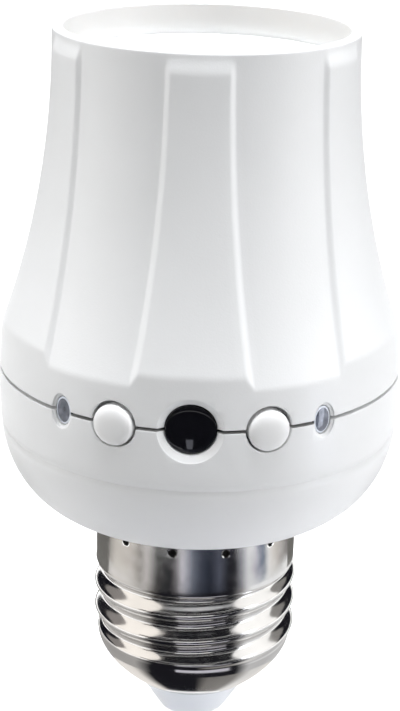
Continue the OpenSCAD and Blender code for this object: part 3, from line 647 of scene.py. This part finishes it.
window_r = WINDOW_R - FIT
flange_r = WINDOW_R + WINDOW_LAP
window_outline = [(0, CAP_BACK), (flange_r, CAP_BACK, 0.1), (flange_r, FLANGE_FRONT, 0.1)]
window_outline += [(window_r, FLANGE_FRONT), (window_r, WINDOW_FRONT_R - WINDOW_DOME - 0.1)]
for a in np.radians(np.linspace(86, 0, 14)):
    window_outline.append((window_r * math.sin(a), WINDOW_FRONT_R - WINDOW_DOME * (1 - math.cos(a))))
window = turned_facing_out("sensor_window_cap", 0, rounded(window_outline))
shade_smooth(window, 30)
dark_tint = new_finish("dark_tinted_plastic", (0.006, 0.006, 0.008), 0.04)
vary_roughness(dark_tint, 400, 0.03, 0.06)
add_relief(dark_tint, 200, 0.01, 1.0)
window.data.materials.append(dark_tint)
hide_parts("sensor_window")
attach(window, "housing")

# Push buttons. White mouldings with a softly domed head, a flange behind the wall and a stem that
# rests on the switch; each slides inwards by half a millimetre.
BUTTON_PROUD = 0.8
BUTTON_CROWN = 1.05
CROWN_POWER = 2.5
BUTTON_SLACK = 0.07
BUTTON_DROP = 0.12
STEM_BUTTON_R = 1
PLUNGER_END_R = INNER_R - 3
button_white = satin_plastic("satin_white_button", (0.84, 0.84, 0.84))
head = BELLY_R + BUTTON_PROUD
head_r = BUTTON_R - BUTTON_SLACK
flange_r = BUTTON_R + BUTTON_GAP + CONTROL_LAP
button_outline = [(0, PLUNGER_END_R), (STEM_BUTTON_R, PLUNGER_END_R, 0.1), (STEM_BUTTON_R, CAP_BACK)]
button_outline += [(flange_r, CAP_BACK, 0.1), (flange_r, FLANGE_FRONT, 0.1), (head_r, FLANGE_FRONT)]
for a in np.radians(np.linspace(0, 88, 26)):
    reach = head_r * math.cos(a) ** (2 / CROWN_POWER)
    button_outline.append((reach, head - BUTTON_CROWN * (1 - math.sin(a) ** (2 / CROWN_POWER))))
button_outline = rounded(button_outline + [(0, head)])
for side, name in ((-1, "left"), (1, "right")):
    button = turned_facing_out("push_button_" + name, side * BUTTON_ANGLE, button_outline, drop=BUTTON_DROP)
    shade_smooth(button)
    button.data.materials.append(button_white)
    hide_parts("button_" + name)
    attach(button, name + "_button")
    dress("switch_" + name, component_black, 0.15)
    dress("plunger_" + name, component_black, 0.1)

# Indicators. A clear cap fills each small oval opening up to the foot of its bevel; its dark blue-grey,
# clouded colour is painted shade for the dim inside seen through it. Behind it is a round LED in clear
# epoxy, lying on the seam with its legs turned down to the board.
LED_SINK = 0.05
LED_WALL = 0.45
LED_FACE_T = 0.5
LED_CROWN = 0.12
LED_RIM_FROM = 0.86
# Painted shade: the cap's dark blue-grey clouds stand in for the dim inside seen through the clear plastic.
clear_cap_painted_shade = new_finish("clear_cap_painted_shade", (0.36, 0.4, 0.5), 0.06)
vary_roughness(clear_cap_painted_shade, 900, 0.04, 0.1)
vary_colour(clear_cap_painted_shade, 900, (0.1, 0.115, 0.16), (0.34, 0.37, 0.46))
add_relief(clear_cap_painted_shade, 700, 0.02)
shader_of(clear_cap_painted_shade).inputs["Transmission Weight"].default_value = 0.45
shader_of(clear_cap_painted_shade).inputs["IOR"].default_value = 1.49
epoxy = new_finish("clear_epoxy", (0.8, 0.86, 0.95), 0.08)
vary_roughness(epoxy, 900, 0.05, 0.14)
add_relief(epoxy, 600, 0.03)
shader_of(epoxy).inputs["Transmission Weight"].default_value = 0.7
# Painted highlight: a pale, opaque rim round each cap's face stands in for the bright lit ring at the edge of
# the lens.
lens_rim_painted_highlight = new_finish("painted_highlight_lens_rim", (0.8, 0.84, 0.92), 0.05)
vary_roughness(lens_rim_painted_highlight, 1500, 0.03, 0.12)
add_relief(lens_rim_painted_highlight, 900, 0.03)
shader_of(lens_rim_painted_highlight).inputs["IOR"].default_value = 1.49
lens_r = LED_H / 2 - FIT
hollow_r = lens_r - LED_WALL
flange_r = LED_H / 2 + CONTROL_LAP
front = BELLY_R - LED_BEVEL - LED_SINK
cap_outline = [(0, front - LED_FACE_T), (hollow_r, front - LED_FACE_T - 0.1, 0.1), (hollow_r, CAP_BACK)]
cap_outline += [(flange_r, CAP_BACK, 0.1), (flange_r, FLANGE_FRONT), (lens_r, FLANGE_FRONT)]
cap_outline += [(lens_r, front - LED_CROWN, 0.1)]
for share in (0.94, LED_RIM_FROM, 0.75, 0.6, 0.45, 0.3, 0.15, 0.05):
    cap_outline.append((lens_r * share, front - LED_CROWN * share**2))
cap_outline = rounded(cap_outline + [(0, front)])
for side, name in ((-1, "left"), (1, "right")):
    cap = turned_facing_out("indicator_cap_" + name, side * LED_ANGLE, cap_outline, 56, LED_NARROW)
    shade_smooth(cap)
    cap.data.materials.append(clear_cap_painted_shade)
    cap.data.materials.append(lens_rim_painted_highlight)
    # Faces near the edge of the cap's face get the painted highlight.
    turn = math.radians(side * LED_ANGLE)
    for face in cap.data.polygons:
        x, y, z = face.center / MM
        across = (x * math.cos(turn) + y * math.sin(turn)) / (lens_r - LED_NARROW)
        out = x * math.sin(turn) - y * math.cos(turn)
        if out > front - LED_FACE_T and math.hypot(across, (z - SEAM_Z) / lens_r) > LED_RIM_FROM:
            face.material_index = 1
    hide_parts("led_lens_" + name)
    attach(cap, "housing")
    dress("led_" + name, epoxy, 0.3)

# Upper housing. One white moulding that runs up from the plain band in a flare with shallow sunk
# panels between raised ones; the panels' edges are soft and die out in the band and at the rim.
RIM_Z = high_mm("upper_housing").z
RIM_R = 18.45
BAND_Z = SEAM_Z + BAND_H
BAND_TOP_R = BELLY_R - BAND_DRAFT
FLARE_POWER = 2.1
PANEL_COUNT = 6
PANEL_W = 11
PANEL_DEPTH = 0.42
PANEL_SLOPE_W = 0.85
PANEL_SLOPE_GROWTH = 0.35
PANEL_RUNOUT = 2.4
CREASE_SOFTNESS = 0.12
RIM_ROUND = 0.3
DECK_Z = high_mm("socket_insert").z
DECK_T = 2
DECK_UNDER_Z = DECK_Z - DECK_T
LEDGE_Z = DECK_UNDER_Z - 1.6
BARREL_R = 15.45
LIP_FOOT_Z = SEAM_Z + 1.6
LIP_STEP_Z = SEAM_Z + 0.8


def flare_r(z):
    """The sunk panels' surface: a power curve from the rim to the top of the band."""
    return RIM_R + (BAND_TOP_R - RIM_R) * (np.maximum(RIM_Z - z, 0) / (RIM_Z - BAND_Z)) ** FLARE_POWER


def softer_of(a, b, softness):
    """The smaller of two radii, with the crease between them rounded."""
    share = np.clip(0.5 + 0.5 * (b - a) / softness, 0, 1)
    return b * (1 - share) + a * share - softness * share * (1 - share)


def skin_ring(z, inward=0.0):
    """One ring of the outer skin; its points follow the panels' edges."""
    band = housing_r(z)
    floor = flare_r(z)
    raised = PANEL_DEPTH * ease((RIM_Z - 0.25 - z) / PANEL_RUNOUT)
    at = min(floor, band)
    half = PANEL_W / 2
    sector = math.tau / PANEL_COUNT
    slope_w = PANEL_SLOPE_W + PANEL_SLOPE_GROWTH * min(1, (RIM_Z - z) / (RIM_Z - BAND_Z))
    angles = []
    lifts = []
    edge_angle = math.asin((half + slope_w) / at)
    for panel in range(PANEL_COUNT):
        centre = (panel + 0.5) * sector - math.pi / 2
        slope = np.linspace(0, 1, 9)
        left = [(centre + math.asin(-(half + slope_w * s) / at), s) for s in slope[:0:-1]]
        floor_part = [(centre + math.asin(x / at), 0) for x in np.linspace(-half, half, 15)]
        right = [(centre + math.asin((half + slope_w * s) / at), s) for s in slope[1:]]
        top_part = [(a, 1) for a in np.linspace(centre + edge_angle, centre + sector - edge_angle, 12)[1:-1]]
        for angle, share in left + floor_part + right + top_part:
            angles.append(angle)
            lifts.append(share)
    angles = np.array(angles)
    radii = softer_of(floor + raised * ease(np.array(lifts)), band, CREASE_SOFTNESS)
    return ring_at(angles, radii - inward, z), angles


low_z = SEAM_Z + SEAM_GAP / 2
skin = []
for t in np.radians(np.linspace(0, 90, 6)):
    skin.append((low_z + EDGE_ROUND * (1 - math.cos(t)), EDGE_ROUND * (1 - math.sin(t))))
for low, high, step in (
    (low_z + 0.5, BAND_Z - 1.2, 0.4), (BAND_Z - 1.1, BAND_Z + 3.2, 0.16),
    (BAND_Z + 3.6, RIM_Z - 3.2, 0.9), (RIM_Z - 3.0, RIM_Z - 0.45, 0.2),
):
    skin += [(z, 0) for z in np.arange(low, high, step)]
for t in np.radians(np.linspace(0, 90, 6)):
    skin.append((RIM_Z - RIM_ROUND * (1 - math.sin(t)), RIM_ROUND * (1 - math.cos(t))))
upper_rings = [skin_ring(z, inward)[0] for z, inward in skin]
inner_angles = skin_ring(RIM_Z, 0)[1]
inner_outline = [(RIM_R - WALL, RIM_Z, 0.25), (RIM_R - WALL, DECK_UNDER_Z)]
inner_outline += [(BARREL_R + LOOSE, DECK_UNDER_Z), (BARREL_R + LOOSE, LEDGE_Z)]
inner_outline += [(float(flare_r(LEDGE_Z)) - WALL, LEDGE_Z)]
for z in np.linspace(LEDGE_Z - 1, BAND_Z + 1, 24):
    inner_outline.append((float(flare_r(z)) - WALL, z))
inner_outline += [(INNER_R - BAND_DRAFT, BAND_Z - 0.5), (INNER_R, LIP_FOOT_Z)]
inner_outline += [(LIP_R - LIP_T, LIP_FOOT_Z), (LIP_R - LIP_T, LIP_LOW_Z)]
inner_outline += [(LIP_R, LIP_LOW_Z), (LIP_R, LIP_STEP_Z)]
inner_outline += [(INNER_R, LIP_STEP_Z), (INNER_R, low_z)]
for r, z in rounded([(RIM_R, RIM_Z)] + inner_outline)[1:]:
    upper_rings.append(ring_at(inner_angles, r, z))
upper_housing = piece_from_rings("upper_housing_flare", upper_rings)


LIP_GAP_END = LED_ANGLE + 12
OVERCUT = 0.02


def lip_tool(name, reach_degrees):
    """A curved bar that clears the lip away behind the window, the buttons and the indicators."""
    arc = np.radians(np.linspace(-reach_degrees, reach_degrees, 40)) - math.pi / 2
    low = LIP_LOW_Z - 1
    high = LIP_FOOT_Z + OVERCUT
    inner, outer = LIP_R - LIP_T - 1, INNER_R + OVERCUT
    section = [(inner, low), (outer, low), (outer, high), (inner, high)]
    points = [[r * math.cos(a), r * math.sin(a), z] for a in arc for r, z in section]
    faces = [[0, 1, 2, 3], [len(points) - 1, len(points) - 2, len(points) - 3, len(points) - 4]]
    for j in range(len(arc) - 1):
        for k in range(4):
            one, other = 4 * j + k, 4 * j + (k + 1) % 4
            faces.append([one, one + 4, other + 4, other])
    return new_piece(name, points, faces)


cut_with(upper_housing, [lip_tool("lip_tool", LIP_GAP_END)] + control_openings(), "DIFFERENCE")
shade_smooth(upper_housing)
upper_housing.data.materials.append(housing_white)
paint_seam_shade(upper_housing)
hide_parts("upper_housing")
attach(upper_housing, "housing")

# Socket insert. The deck inside the rim and the barrel below it are one moulding of white
# heat-resistant plastic that drops onto the ledge; its mouth is bevelled to lead the lamp in.
BARREL_LOW_Z = low_mm("socket_insert").z
MOUTH_R = 13.7
POCKET_R = 13.9
MOUTH_BEVEL = 1.8
MOUTH_H = 9.8
STEP_Z = DECK_Z - MOUTH_H
insert = turned("socket_insert_deck", rounded([
    (POCKET_R, BARREL_LOW_Z), (BARREL_R, BARREL_LOW_Z, 0.2), (BARREL_R, DECK_UNDER_Z, 0.2),
    (RIM_R - WALL - FIT, DECK_UNDER_Z), (RIM_R - WALL - FIT, DECK_Z, 0.2),
    (MOUTH_R + MOUTH_BEVEL, DECK_Z, 0.3), (MOUTH_R, DECK_Z - MOUTH_BEVEL, 0.15),
    (MOUTH_R, STEP_Z), (POCKET_R, STEP_Z),
]), 128)
shade_smooth(insert)
socket_white = satin_plastic("satin_white_socket", (0.85, 0.85, 0.84))
insert.data.materials.append(socket_white)
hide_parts("socket_insert")
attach(insert, "housing")

# Socket shell. Thin rolled brass with the thread that the lamp screws into; a small flange at its
# top hooks under the mouth, and its plain foot stands on the socket's floor.
SOCKET_CLEAR = 0.15
SOCKET_MEAN_R = MEAN_R + SOCKET_CLEAR
SOCKET_FLOOR_Z = low_mm("socket_shell").z
FOOT_H = 2
foot_top = SOCKET_FLOOR_Z + FOOT_H
head_low = STEP_Z - FOOT_H / 2
plain_r = SOCKET_MEAN_R + SHEET_T / 2
socket_angles = np.linspace(0, math.tau, 144, endpoint=False)


def socket_shell_r(z):
    """Outer radius of the socket shell's thread all round, at a height."""
    mean = SOCKET_MEAN_R + SHEET_T
    return rolled_thread_r(socket_angles, z, foot_top, head_low, mean, plain_r, plain_r, foot_top)


thread_heights = np.linspace(foot_top, head_low, 118)
socket_rings = [ring_at(socket_angles, plain_r, SOCKET_FLOOR_Z)]
socket_rings += [ring_at(socket_angles, socket_shell_r(z), z) for z in thread_heights]
for r, z in [(plain_r, STEP_Z - SHEET_T), (POCKET_R - FIT, STEP_Z - SHEET_T), (POCKET_R - FIT, STEP_Z),
             (plain_r - SHEET_T, STEP_Z)]:
    socket_rings.append(ring_at(socket_angles, r, z))
socket_rings += [ring_at(socket_angles, socket_shell_r(z) - SHEET_T, z) for z in thread_heights[::-1]]
socket_rings.append(ring_at(socket_angles, plain_r - SHEET_T, SOCKET_FLOOR_Z))
socket_shell = piece_from_rings("socket_shell_rolled", socket_rings)
shade_smooth(socket_shell, 50)
brass = new_finish("rolled_brass", (0.78, 0.6, 0.3), 0.24, metallic=1.0)
vary_colour(brass, 120, (0.75, 0.57, 0.28), (0.81, 0.63, 0.33), 1.0)
vary_roughness(brass, 500, 0.2, 0.28, 1.0)
add_relief(brass, 200, 0.008, 1.0)
socket_shell.data.materials.append(brass)
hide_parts("socket_shell")
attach(socket_shell, "housing")

# Socket floor and contacts. An off-white disc closes the barrel; the folded leaf of spring brass is
# riveted to its middle, and a strip passes through it to the foot of the shell.
floor_cream = satin_plastic("heat_resistant_floor", (0.8, 0.77, 0.7))
dress("socket_floor", floor_cream, 0.12)
spring_brass = new_finish("spring_brass", (0.76, 0.56, 0.26), 0.28, metallic=1.0)
vary_roughness(spring_brass, 1500, 0.24, 0.34)
vary_colour(spring_brass, 200, (0.73, 0.53, 0.24), (0.79, 0.59, 0.29), 1.0)
add_relief(spring_brass, 1200, 0.001, 1.0)
dress("centre_contact", spring_brass, 0.08)
dress("shell_terminal", spring_brass, 0.08)
dress("contact_rivet", tinned, 0.15)


# Wires. Stranded copper in brown and blue insulation: two come up from the base to the board and
# two go on from the board to the contacts of the socket.
def insulation(name, colour):
    """Soft wire insulation."""
    finish = new_finish(name, colour, 0.45)
    vary_colour(finish, 500, tuple(c * 0.85 for c in colour), colour)
    vary_roughness(finish, 1500, 0.38, 0.55)
    add_relief(finish, 1200, 0.02)
    return finish


brown = insulation("brown_insulation", (0.2, 0.09, 0.04))
blue = insulation("blue_insulation", (0.04, 0.15, 0.42))
dress("live_wire", brown)
dress("lamp_live_wire", brown)
dress("neutral_wire", blue)
dress("lamp_neutral_wire", blue)

# Studio. A white sweep under the part, soft boxes round it and overhead, one small lamp low in
# front for the insulator, and dark and pale cards that only the reflections see.
middle = Vector((0, 0, SEAM_Z * MM))


def around(azimuth, elevation, distance):
    """A place seen from the part's middle; azimuth 0 is the front and grows to the right."""
    turn, tilt = math.radians(azimuth), math.radians(elevation)
    flat = distance * math.cos(tilt)
    return middle + Vector((flat * math.sin(turn), -flat * math.cos(turn), distance * math.sin(tilt)))


def soft_box(name, azimuth, elevation, distance, width, height, power, colour=(1, 1, 1)):
    """A lamp that faces the part's middle and doesn't show in reflections."""
    lamp = bpy.data.lights.new(name, "AREA")
    lamp.shape = "RECTANGLE"
    lamp.size = width
    lamp.size_y = height
    lamp.energy = power
    lamp.color = colour
    box = bpy.data.objects.new(name, lamp)
    box.location = around(azimuth, elevation, distance)
    box.rotation_euler = (middle - box.location).to_track_quat("-Z", "Y").to_euler()
    box.visible_glossy = False
    bpy.context.scene.collection.objects.link(box)
    return box


for box in (
    ("box_left", -75, 5, 0.6, 0.45, 0.7, 3.2, (1.0, 0.99, 0.97)),
    ("box_left_back", -115, 10, 0.6, 0.45, 0.7, 0.9),
    ("box_right", 75, 5, 0.6, 0.45, 0.7, 2.1),
    ("box_right_low", 70, -1, 0.6, 0.3, 0.3, 0.5),
    ("box_right_high", 60, 40, 0.65, 0.45, 0.5, 1.3),
    ("box_top", 0, 90, 0.6, 0.3, 0.3, 5.7, (0.965, 0.985, 1.01)),
    ("box_back", 180, 25, 0.7, 0.6, 0.5, 2.0),
):
    soft_box(*box)
low_box = soft_box("box_low_front", 8, -11, 0.25, 0.06, 0.02, 0.0028)
insulator_middle = Vector((0, 0, 0.003))
low_box.rotation_euler = (insulator_middle - low_box.location).to_track_quat("-Z", "Y").to_euler()
low_box.data.spread = math.radians(14)


def strip_faces(lines):
    """Four-sided faces between two rows of that many corners."""
    return [(i, i + 1, i + lines + 1, i + lines) for i in range(lines - 1)]


def reflection_board(name, corners, faces, colour):
    """A board that shows in gloss and metal only, and casts neither light nor shadow."""
    board = new_piece(name, corners, faces, 1)
    paint = bpy.data.materials.new(name)
    paint.use_nodes = True
    tree = paint.node_tree
    tree.nodes.clear()
    glow = tree.nodes.new("ShaderNodeEmission")
    glow.inputs["Color"].default_value = (*colour, 1)
    out = tree.nodes.new("ShaderNodeOutputMaterial")
    tree.links.new(glow.outputs["Emission"], out.inputs["Surface"])
    board.data.materials.append(paint)
    board.visible_camera = False
    board.visible_diffuse = False
    board.visible_shadow = False
    board.visible_transmission = False
    return glow


FLOOR_LINES = 49
HANGING_LINES = 17


def floor_card(name, azimuths, near, far, colour, lie=0.0):
    """A card that lies round the part between two azimuths and two distances from its axis."""
    turns = np.radians(np.linspace(*azimuths, FLOOR_LINES))
    corners = [(r * math.sin(t), -r * math.cos(t), lie) for r in (near, far) for t in turns]
    return reflection_board(name, corners, strip_faces(FLOOR_LINES), colour)


def shaded_ring(name, near, far, stops):
    """A ring of card all round the part, its tone running from one azimuth's stop to the next."""
    glow = floor_card(name, (-180, 180), near, far, (1, 1, 1))
    tree = glow.id_data
    place = tree.nodes.new("ShaderNodeTexCoord")
    quarter = tree.nodes.new("ShaderNodeMapping")
    quarter.inputs["Rotation"].default_value = (0, 0, math.pi / 2)
    sweep_round = tree.nodes.new("ShaderNodeTexGradient")
    sweep_round.gradient_type = "RADIAL"
    ramp = tree.nodes.new("ShaderNodeValToRGB")
    marks = ramp.color_ramp.elements
    for k, (azimuth, tone) in enumerate(stops):
        mark = marks[k] if k < 2 else marks.new(1.0)
        mark.position = (azimuth + 180) / 360
        mark.color = (*tone, 1)
    tree.links.new(place.outputs["Object"], quarter.inputs["Vector"])
    tree.links.new(quarter.outputs["Vector"], sweep_round.inputs["Vector"])
    tree.links.new(sweep_round.outputs["Fac"], ramp.inputs["Fac"])
    tree.links.new(ramp.outputs["Color"], glow.inputs["Color"])


def hanging_card(name, azimuths, elevations, distance, colour):
    """A card that hangs round the part between two azimuths and two elevations."""
    turns = np.linspace(*azimuths, HANGING_LINES)
    corners = [tuple(around(t, e, distance)) for e in elevations for t in turns]
    reflection_board(name, corners, strip_faces(HANGING_LINES), colour)


WARM = (0.85, 0.8, 0.75)
SHADE = (0.18, 0.175, 0.165)
BLACK = (0.012, 0.012, 0.016)
LAVENDER = (0.68, 0.67, 0.73)
shaded_ring("ring_under", 0.0045, 0.016, [
    (-180, (0.6, 0.57, 0.54)), (-95, (0.95, 0.91, 0.87)), (-66, (0.95, 0.91, 0.87)), (-44, BLACK),
    (6, BLACK), (18, (0.22, 0.21, 0.2)), (50, (0.3, 0.29, 0.28)), (70, (0.9, 0.89, 0.88)),
    (180, WARM),
])
shaded_ring("ring_flank_low", 0.016, 0.03, [
    (-180, (0.4, 0.39, 0.38)), (-58, (0.45, 0.44, 0.43)), (-40, BLACK), (46, BLACK), (60, (0.65, 0.65, 0.66)),
    (180, (0.6, 0.6, 0.6)),
])
shaded_ring("ring_flank_high", 0.03, 0.038, [
    (-180, (0.6, 0.59, 0.57)), (-58, (0.66, 0.64, 0.62)), (-42, BLACK), (46, BLACK), (60, (0.9, 0.9, 0.92)),
    (180, (0.8, 0.8, 0.8)),
])
shaded_ring("ring_thread", 0.038, 0.058, [
    (-180, (0.7, 0.68, 0.66)), (-75, (0.85, 0.83, 0.82)), (-58, (0.7, 0.69, 0.67)), (-43, (0.1, 0.09, 0.08)),
    (-34, BLACK), (44, BLACK), (53, (0.35, 0.34, 0.35)), (62, (1.1, 1.12, 1.15)), (180, (1, 1, 1)),
])
shaded_ring("ring_collar", 0.058, 0.078, [
    (-180, SHADE), (-112, SHADE), (-93, (0.78, 0.74, 0.69)), (-70, (0.72, 0.68, 0.64)),
    (-57, (0.36, 0.34, 0.32)), (-50, (0.7, 0.67, 0.66)), (-44, (0.45, 0.44, 0.44)), (-38, (0.08, 0.08, 0.08)),
    (-23, BLACK), (-17, (0.18, 0.17, 0.18)), (-11, LAVENDER), (-6, (0.48, 0.49, 0.57)),
    (0, (0.17, 0.19, 0.24)), (8, (0.06, 0.07, 0.1)), (18, (0.02, 0.025, 0.04)), (28, (0.1, 0.11, 0.15)),
    (37, BLACK), (45, BLACK), (53, (0.36, 0.37, 0.42)), (60, (0.85, 0.87, 0.9)), (67, LAVENDER),
    (75, (0.27, 0.3, 0.4)), (81, (0.22, 0.26, 0.33)), (88, (0.95, 0.95, 0.95)), (97, (0.8, 0.76, 0.72)),
    (112, (0.42, 0.4, 0.39)), (132, SHADE), (180, SHADE),
])
floor_card("card_collar_top", (-8, 46), 0.078, 0.085, (0.16, 0.17, 0.22))
floor_card("card_left_edge", (-180, -106), 0.05, 0.09, SHADE, 0.0003)
floor_card("card_right_edge", (126, 180), 0.05, 0.09, SHADE, 0.0003)
floor_card("card_pale_patch", (-14, 38), 0.024, 0.034, (0.7, 0.69, 0.77), 0.0002)
floor_card("card_black_front", (-50, 60), 0.085, 0.5, (0.012, 0.013, 0.02))
floor_card("card_window_bar", (-4, -0.5), 0.087, 0.12, (1.7, 1.75, 2.0), 0.0002)
for card in (
    ("card_window_top", (-60, 60), (-2.2, 8), 0.125, (0.015, 0.015, 0.02)),
    ("card_side_left", (-150, -104), (-12, 37), 0.3, (0.008, 0.008, 0.012)),
    ("card_side_left_half", (-155, -99), (-12, 41), 0.305, (0.07, 0.065, 0.065)),
    ("card_side_left_soft", (-160, -94), (-12, 46), 0.31, (0.3, 0.28, 0.27)),
    ("card_side_right", (112, 148), (-12, 36), 0.3, (0.006, 0.006, 0.01)),
    ("card_side_right_half", (107, 153), (-12, 40), 0.305, (0.06, 0.06, 0.065)),
    ("card_side_right_soft", (102, 158), (-12, 45), 0.31, (0.3, 0.29, 0.28)),
    ("card_front_low", (-50, 54), (9, 24), 0.5, (0.015, 0.014, 0.016)),
    ("card_front_mid", (-50, 54), (25, 36), 0.5, (0.035, 0.034, 0.038)),
    ("card_front_high", (-50, 54), (38, 60), 0.5, (0.015, 0.015, 0.018)),
    ("card_front_left", (-50, -20), (-4, 9), 0.5, (0.02, 0.018, 0.016)),
    ("card_front_right", (22, 54), (-4, 9), 0.5, (0.012, 0.013, 0.018)),
    ("card_back", (168, 192), (-4, 40), 0.5, (0.02, 0.02, 0.024)),
    ("card_bright_left", (-130, -50), (0, 60), 0.62, (1.25, 1.19, 1.12)),
    ("card_bright_right", (54, 130), (0, 60), 0.62, (1.35, 1.34, 1.33)),
    ("card_lens_glint", (54, 64), (-20, -5), 0.064, (7, 7.4, 8.4)),
):
    hanging_card(*card)

FLOOR_R = 4.0
FLOOR_Z = -0.0004
SHEET_SIDES = 64


def round_sheet(name, radius, height, right=0.0):
    """A level round sheet of paper under the part."""
    turns = np.linspace(0, math.tau, SHEET_SIDES, endpoint=False)
    edge = ring_at(turns, radius, height) + [right, 0, 0]
    return new_piece(name, edge, [tuple(range(SHEET_SIDES))], 1)


def seen_directly(tree):
    """1 for camera, glossy and transmission rays, and 0 for the rays that carry light."""
    rays = tree.nodes.new("ShaderNodeLightPath")
    seen = rays.outputs["Is Camera Ray"]
    for kind in ("Is Glossy Ray", "Is Transmission Ray"):
        either = tree.nodes.new("ShaderNodeMath")
        either.operation = "MAXIMUM"
        tree.links.new(seen, either.inputs[0])
        tree.links.new(rays.outputs[kind], either.inputs[1])
        seen = either.outputs["Value"]
    return seen


FLOOR_LIFT = 0.88
sweep = bpy.data.materials.new("white_sweep")
sweep.use_nodes = True
tree = sweep.node_tree
paper = shader_of(sweep)
paper.inputs["Base Color"].default_value = (0.35, 0.35, 0.35, 1)
paper.inputs["Roughness"].default_value = 0.9
paper.inputs["Specular IOR Level"].default_value = 0.0
paper.inputs["Emission Color"].default_value = (1, 1, 1, 1)
lift = tree.nodes.new("ShaderNodeMath")
lift.operation = "MULTIPLY"
lift.inputs[1].default_value = FLOOR_LIFT
tree.links.new(seen_directly(tree), lift.inputs[0])
tree.links.new(lift.outputs["Value"], paper.inputs["Emission Strength"])
floor = round_sheet("studio_floor", FLOOR_R, FLOOR_Z)
floor.data.materials.append(sweep)

# A pale sheet under the part and to its right sends some light up to the bowl and the base.
SHEET_R = 0.065
SHEET_RIGHT = 0.03
sheet = round_sheet("paper_sheet", SHEET_R, FLOOR_Z / 2, SHEET_RIGHT)
pale = sweep.copy()
pale.name = "pale_sheet"
shader_of(pale).inputs["Base Color"].default_value = (0.75, 0.75, 0.77, 1)
sheet.data.materials.append(pale)

AMBIENT = 0.02
world = bpy.data.worlds.new("studio")
bpy.context.scene.world = world
world.use_nodes = True
tree = world.node_tree
sky = tree.nodes["Background"]
sky.inputs["Color"].default_value = (1, 1, 1, 1)
level = tree.nodes.new("ShaderNodeMapRange")
level.inputs["To Min"].default_value = AMBIENT
tree.links.new(seen_directly(tree), level.inputs["Value"])
tree.links.new(level.outputs["Result"], sky.inputs["Strength"])
bpy.context.scene.view_settings.view_transform = "Standard"

# Camera. A long lens a little to the right of the front, looking down at the seam, as in the
# photograph; its upright leans by a degree.
CAMERA_AZIMUTH = math.radians(1.95)
CAMERA_DISTANCE = 212.91
CAMERA_RISE = 77.06
CAMERA_PITCH = 0.3461
CAMERA_YAW = 0.0002
CAMERA_ROLL = 0.023
LENS_MM = 90.4
FILM_MM = 36.0
across = math.cos(CAMERA_PITCH)
view = Vector((math.sin(CAMERA_YAW) * across, math.cos(CAMERA_YAW) * across, -math.sin(CAMERA_PITCH)))
level_right = view.cross(Vector((0, 0, 1))).normalized()
level_up = level_right.cross(view)
right = math.cos(CAMERA_ROLL) * level_right + math.sin(CAMERA_ROLL) * level_up
upright = math.cos(CAMERA_ROLL) * level_up - math.sin(CAMERA_ROLL) * level_right
turn = Matrix.Rotation(CAMERA_AZIMUTH, 3, "Z")
columns = Matrix((turn @ right, turn @ upright, turn @ -view)).transposed()
place = turn @ Vector((0, -CAMERA_DISTANCE, CAMERA_RISE)) + Vector((0, 0, SEAM_Z))
lens = bpy.data.cameras.new("camera")
lens.lens = LENS_MM
lens.sensor_width = FILM_MM
lens.clip_start = 0.01
camera = bpy.data.objects.new("camera", lens)
camera.matrix_world = Matrix.Translation(place * MM) @ columns.to_4x4()
bpy.context.scene.collection.objects.link(camera)
bpy.context.scene.camera = camera
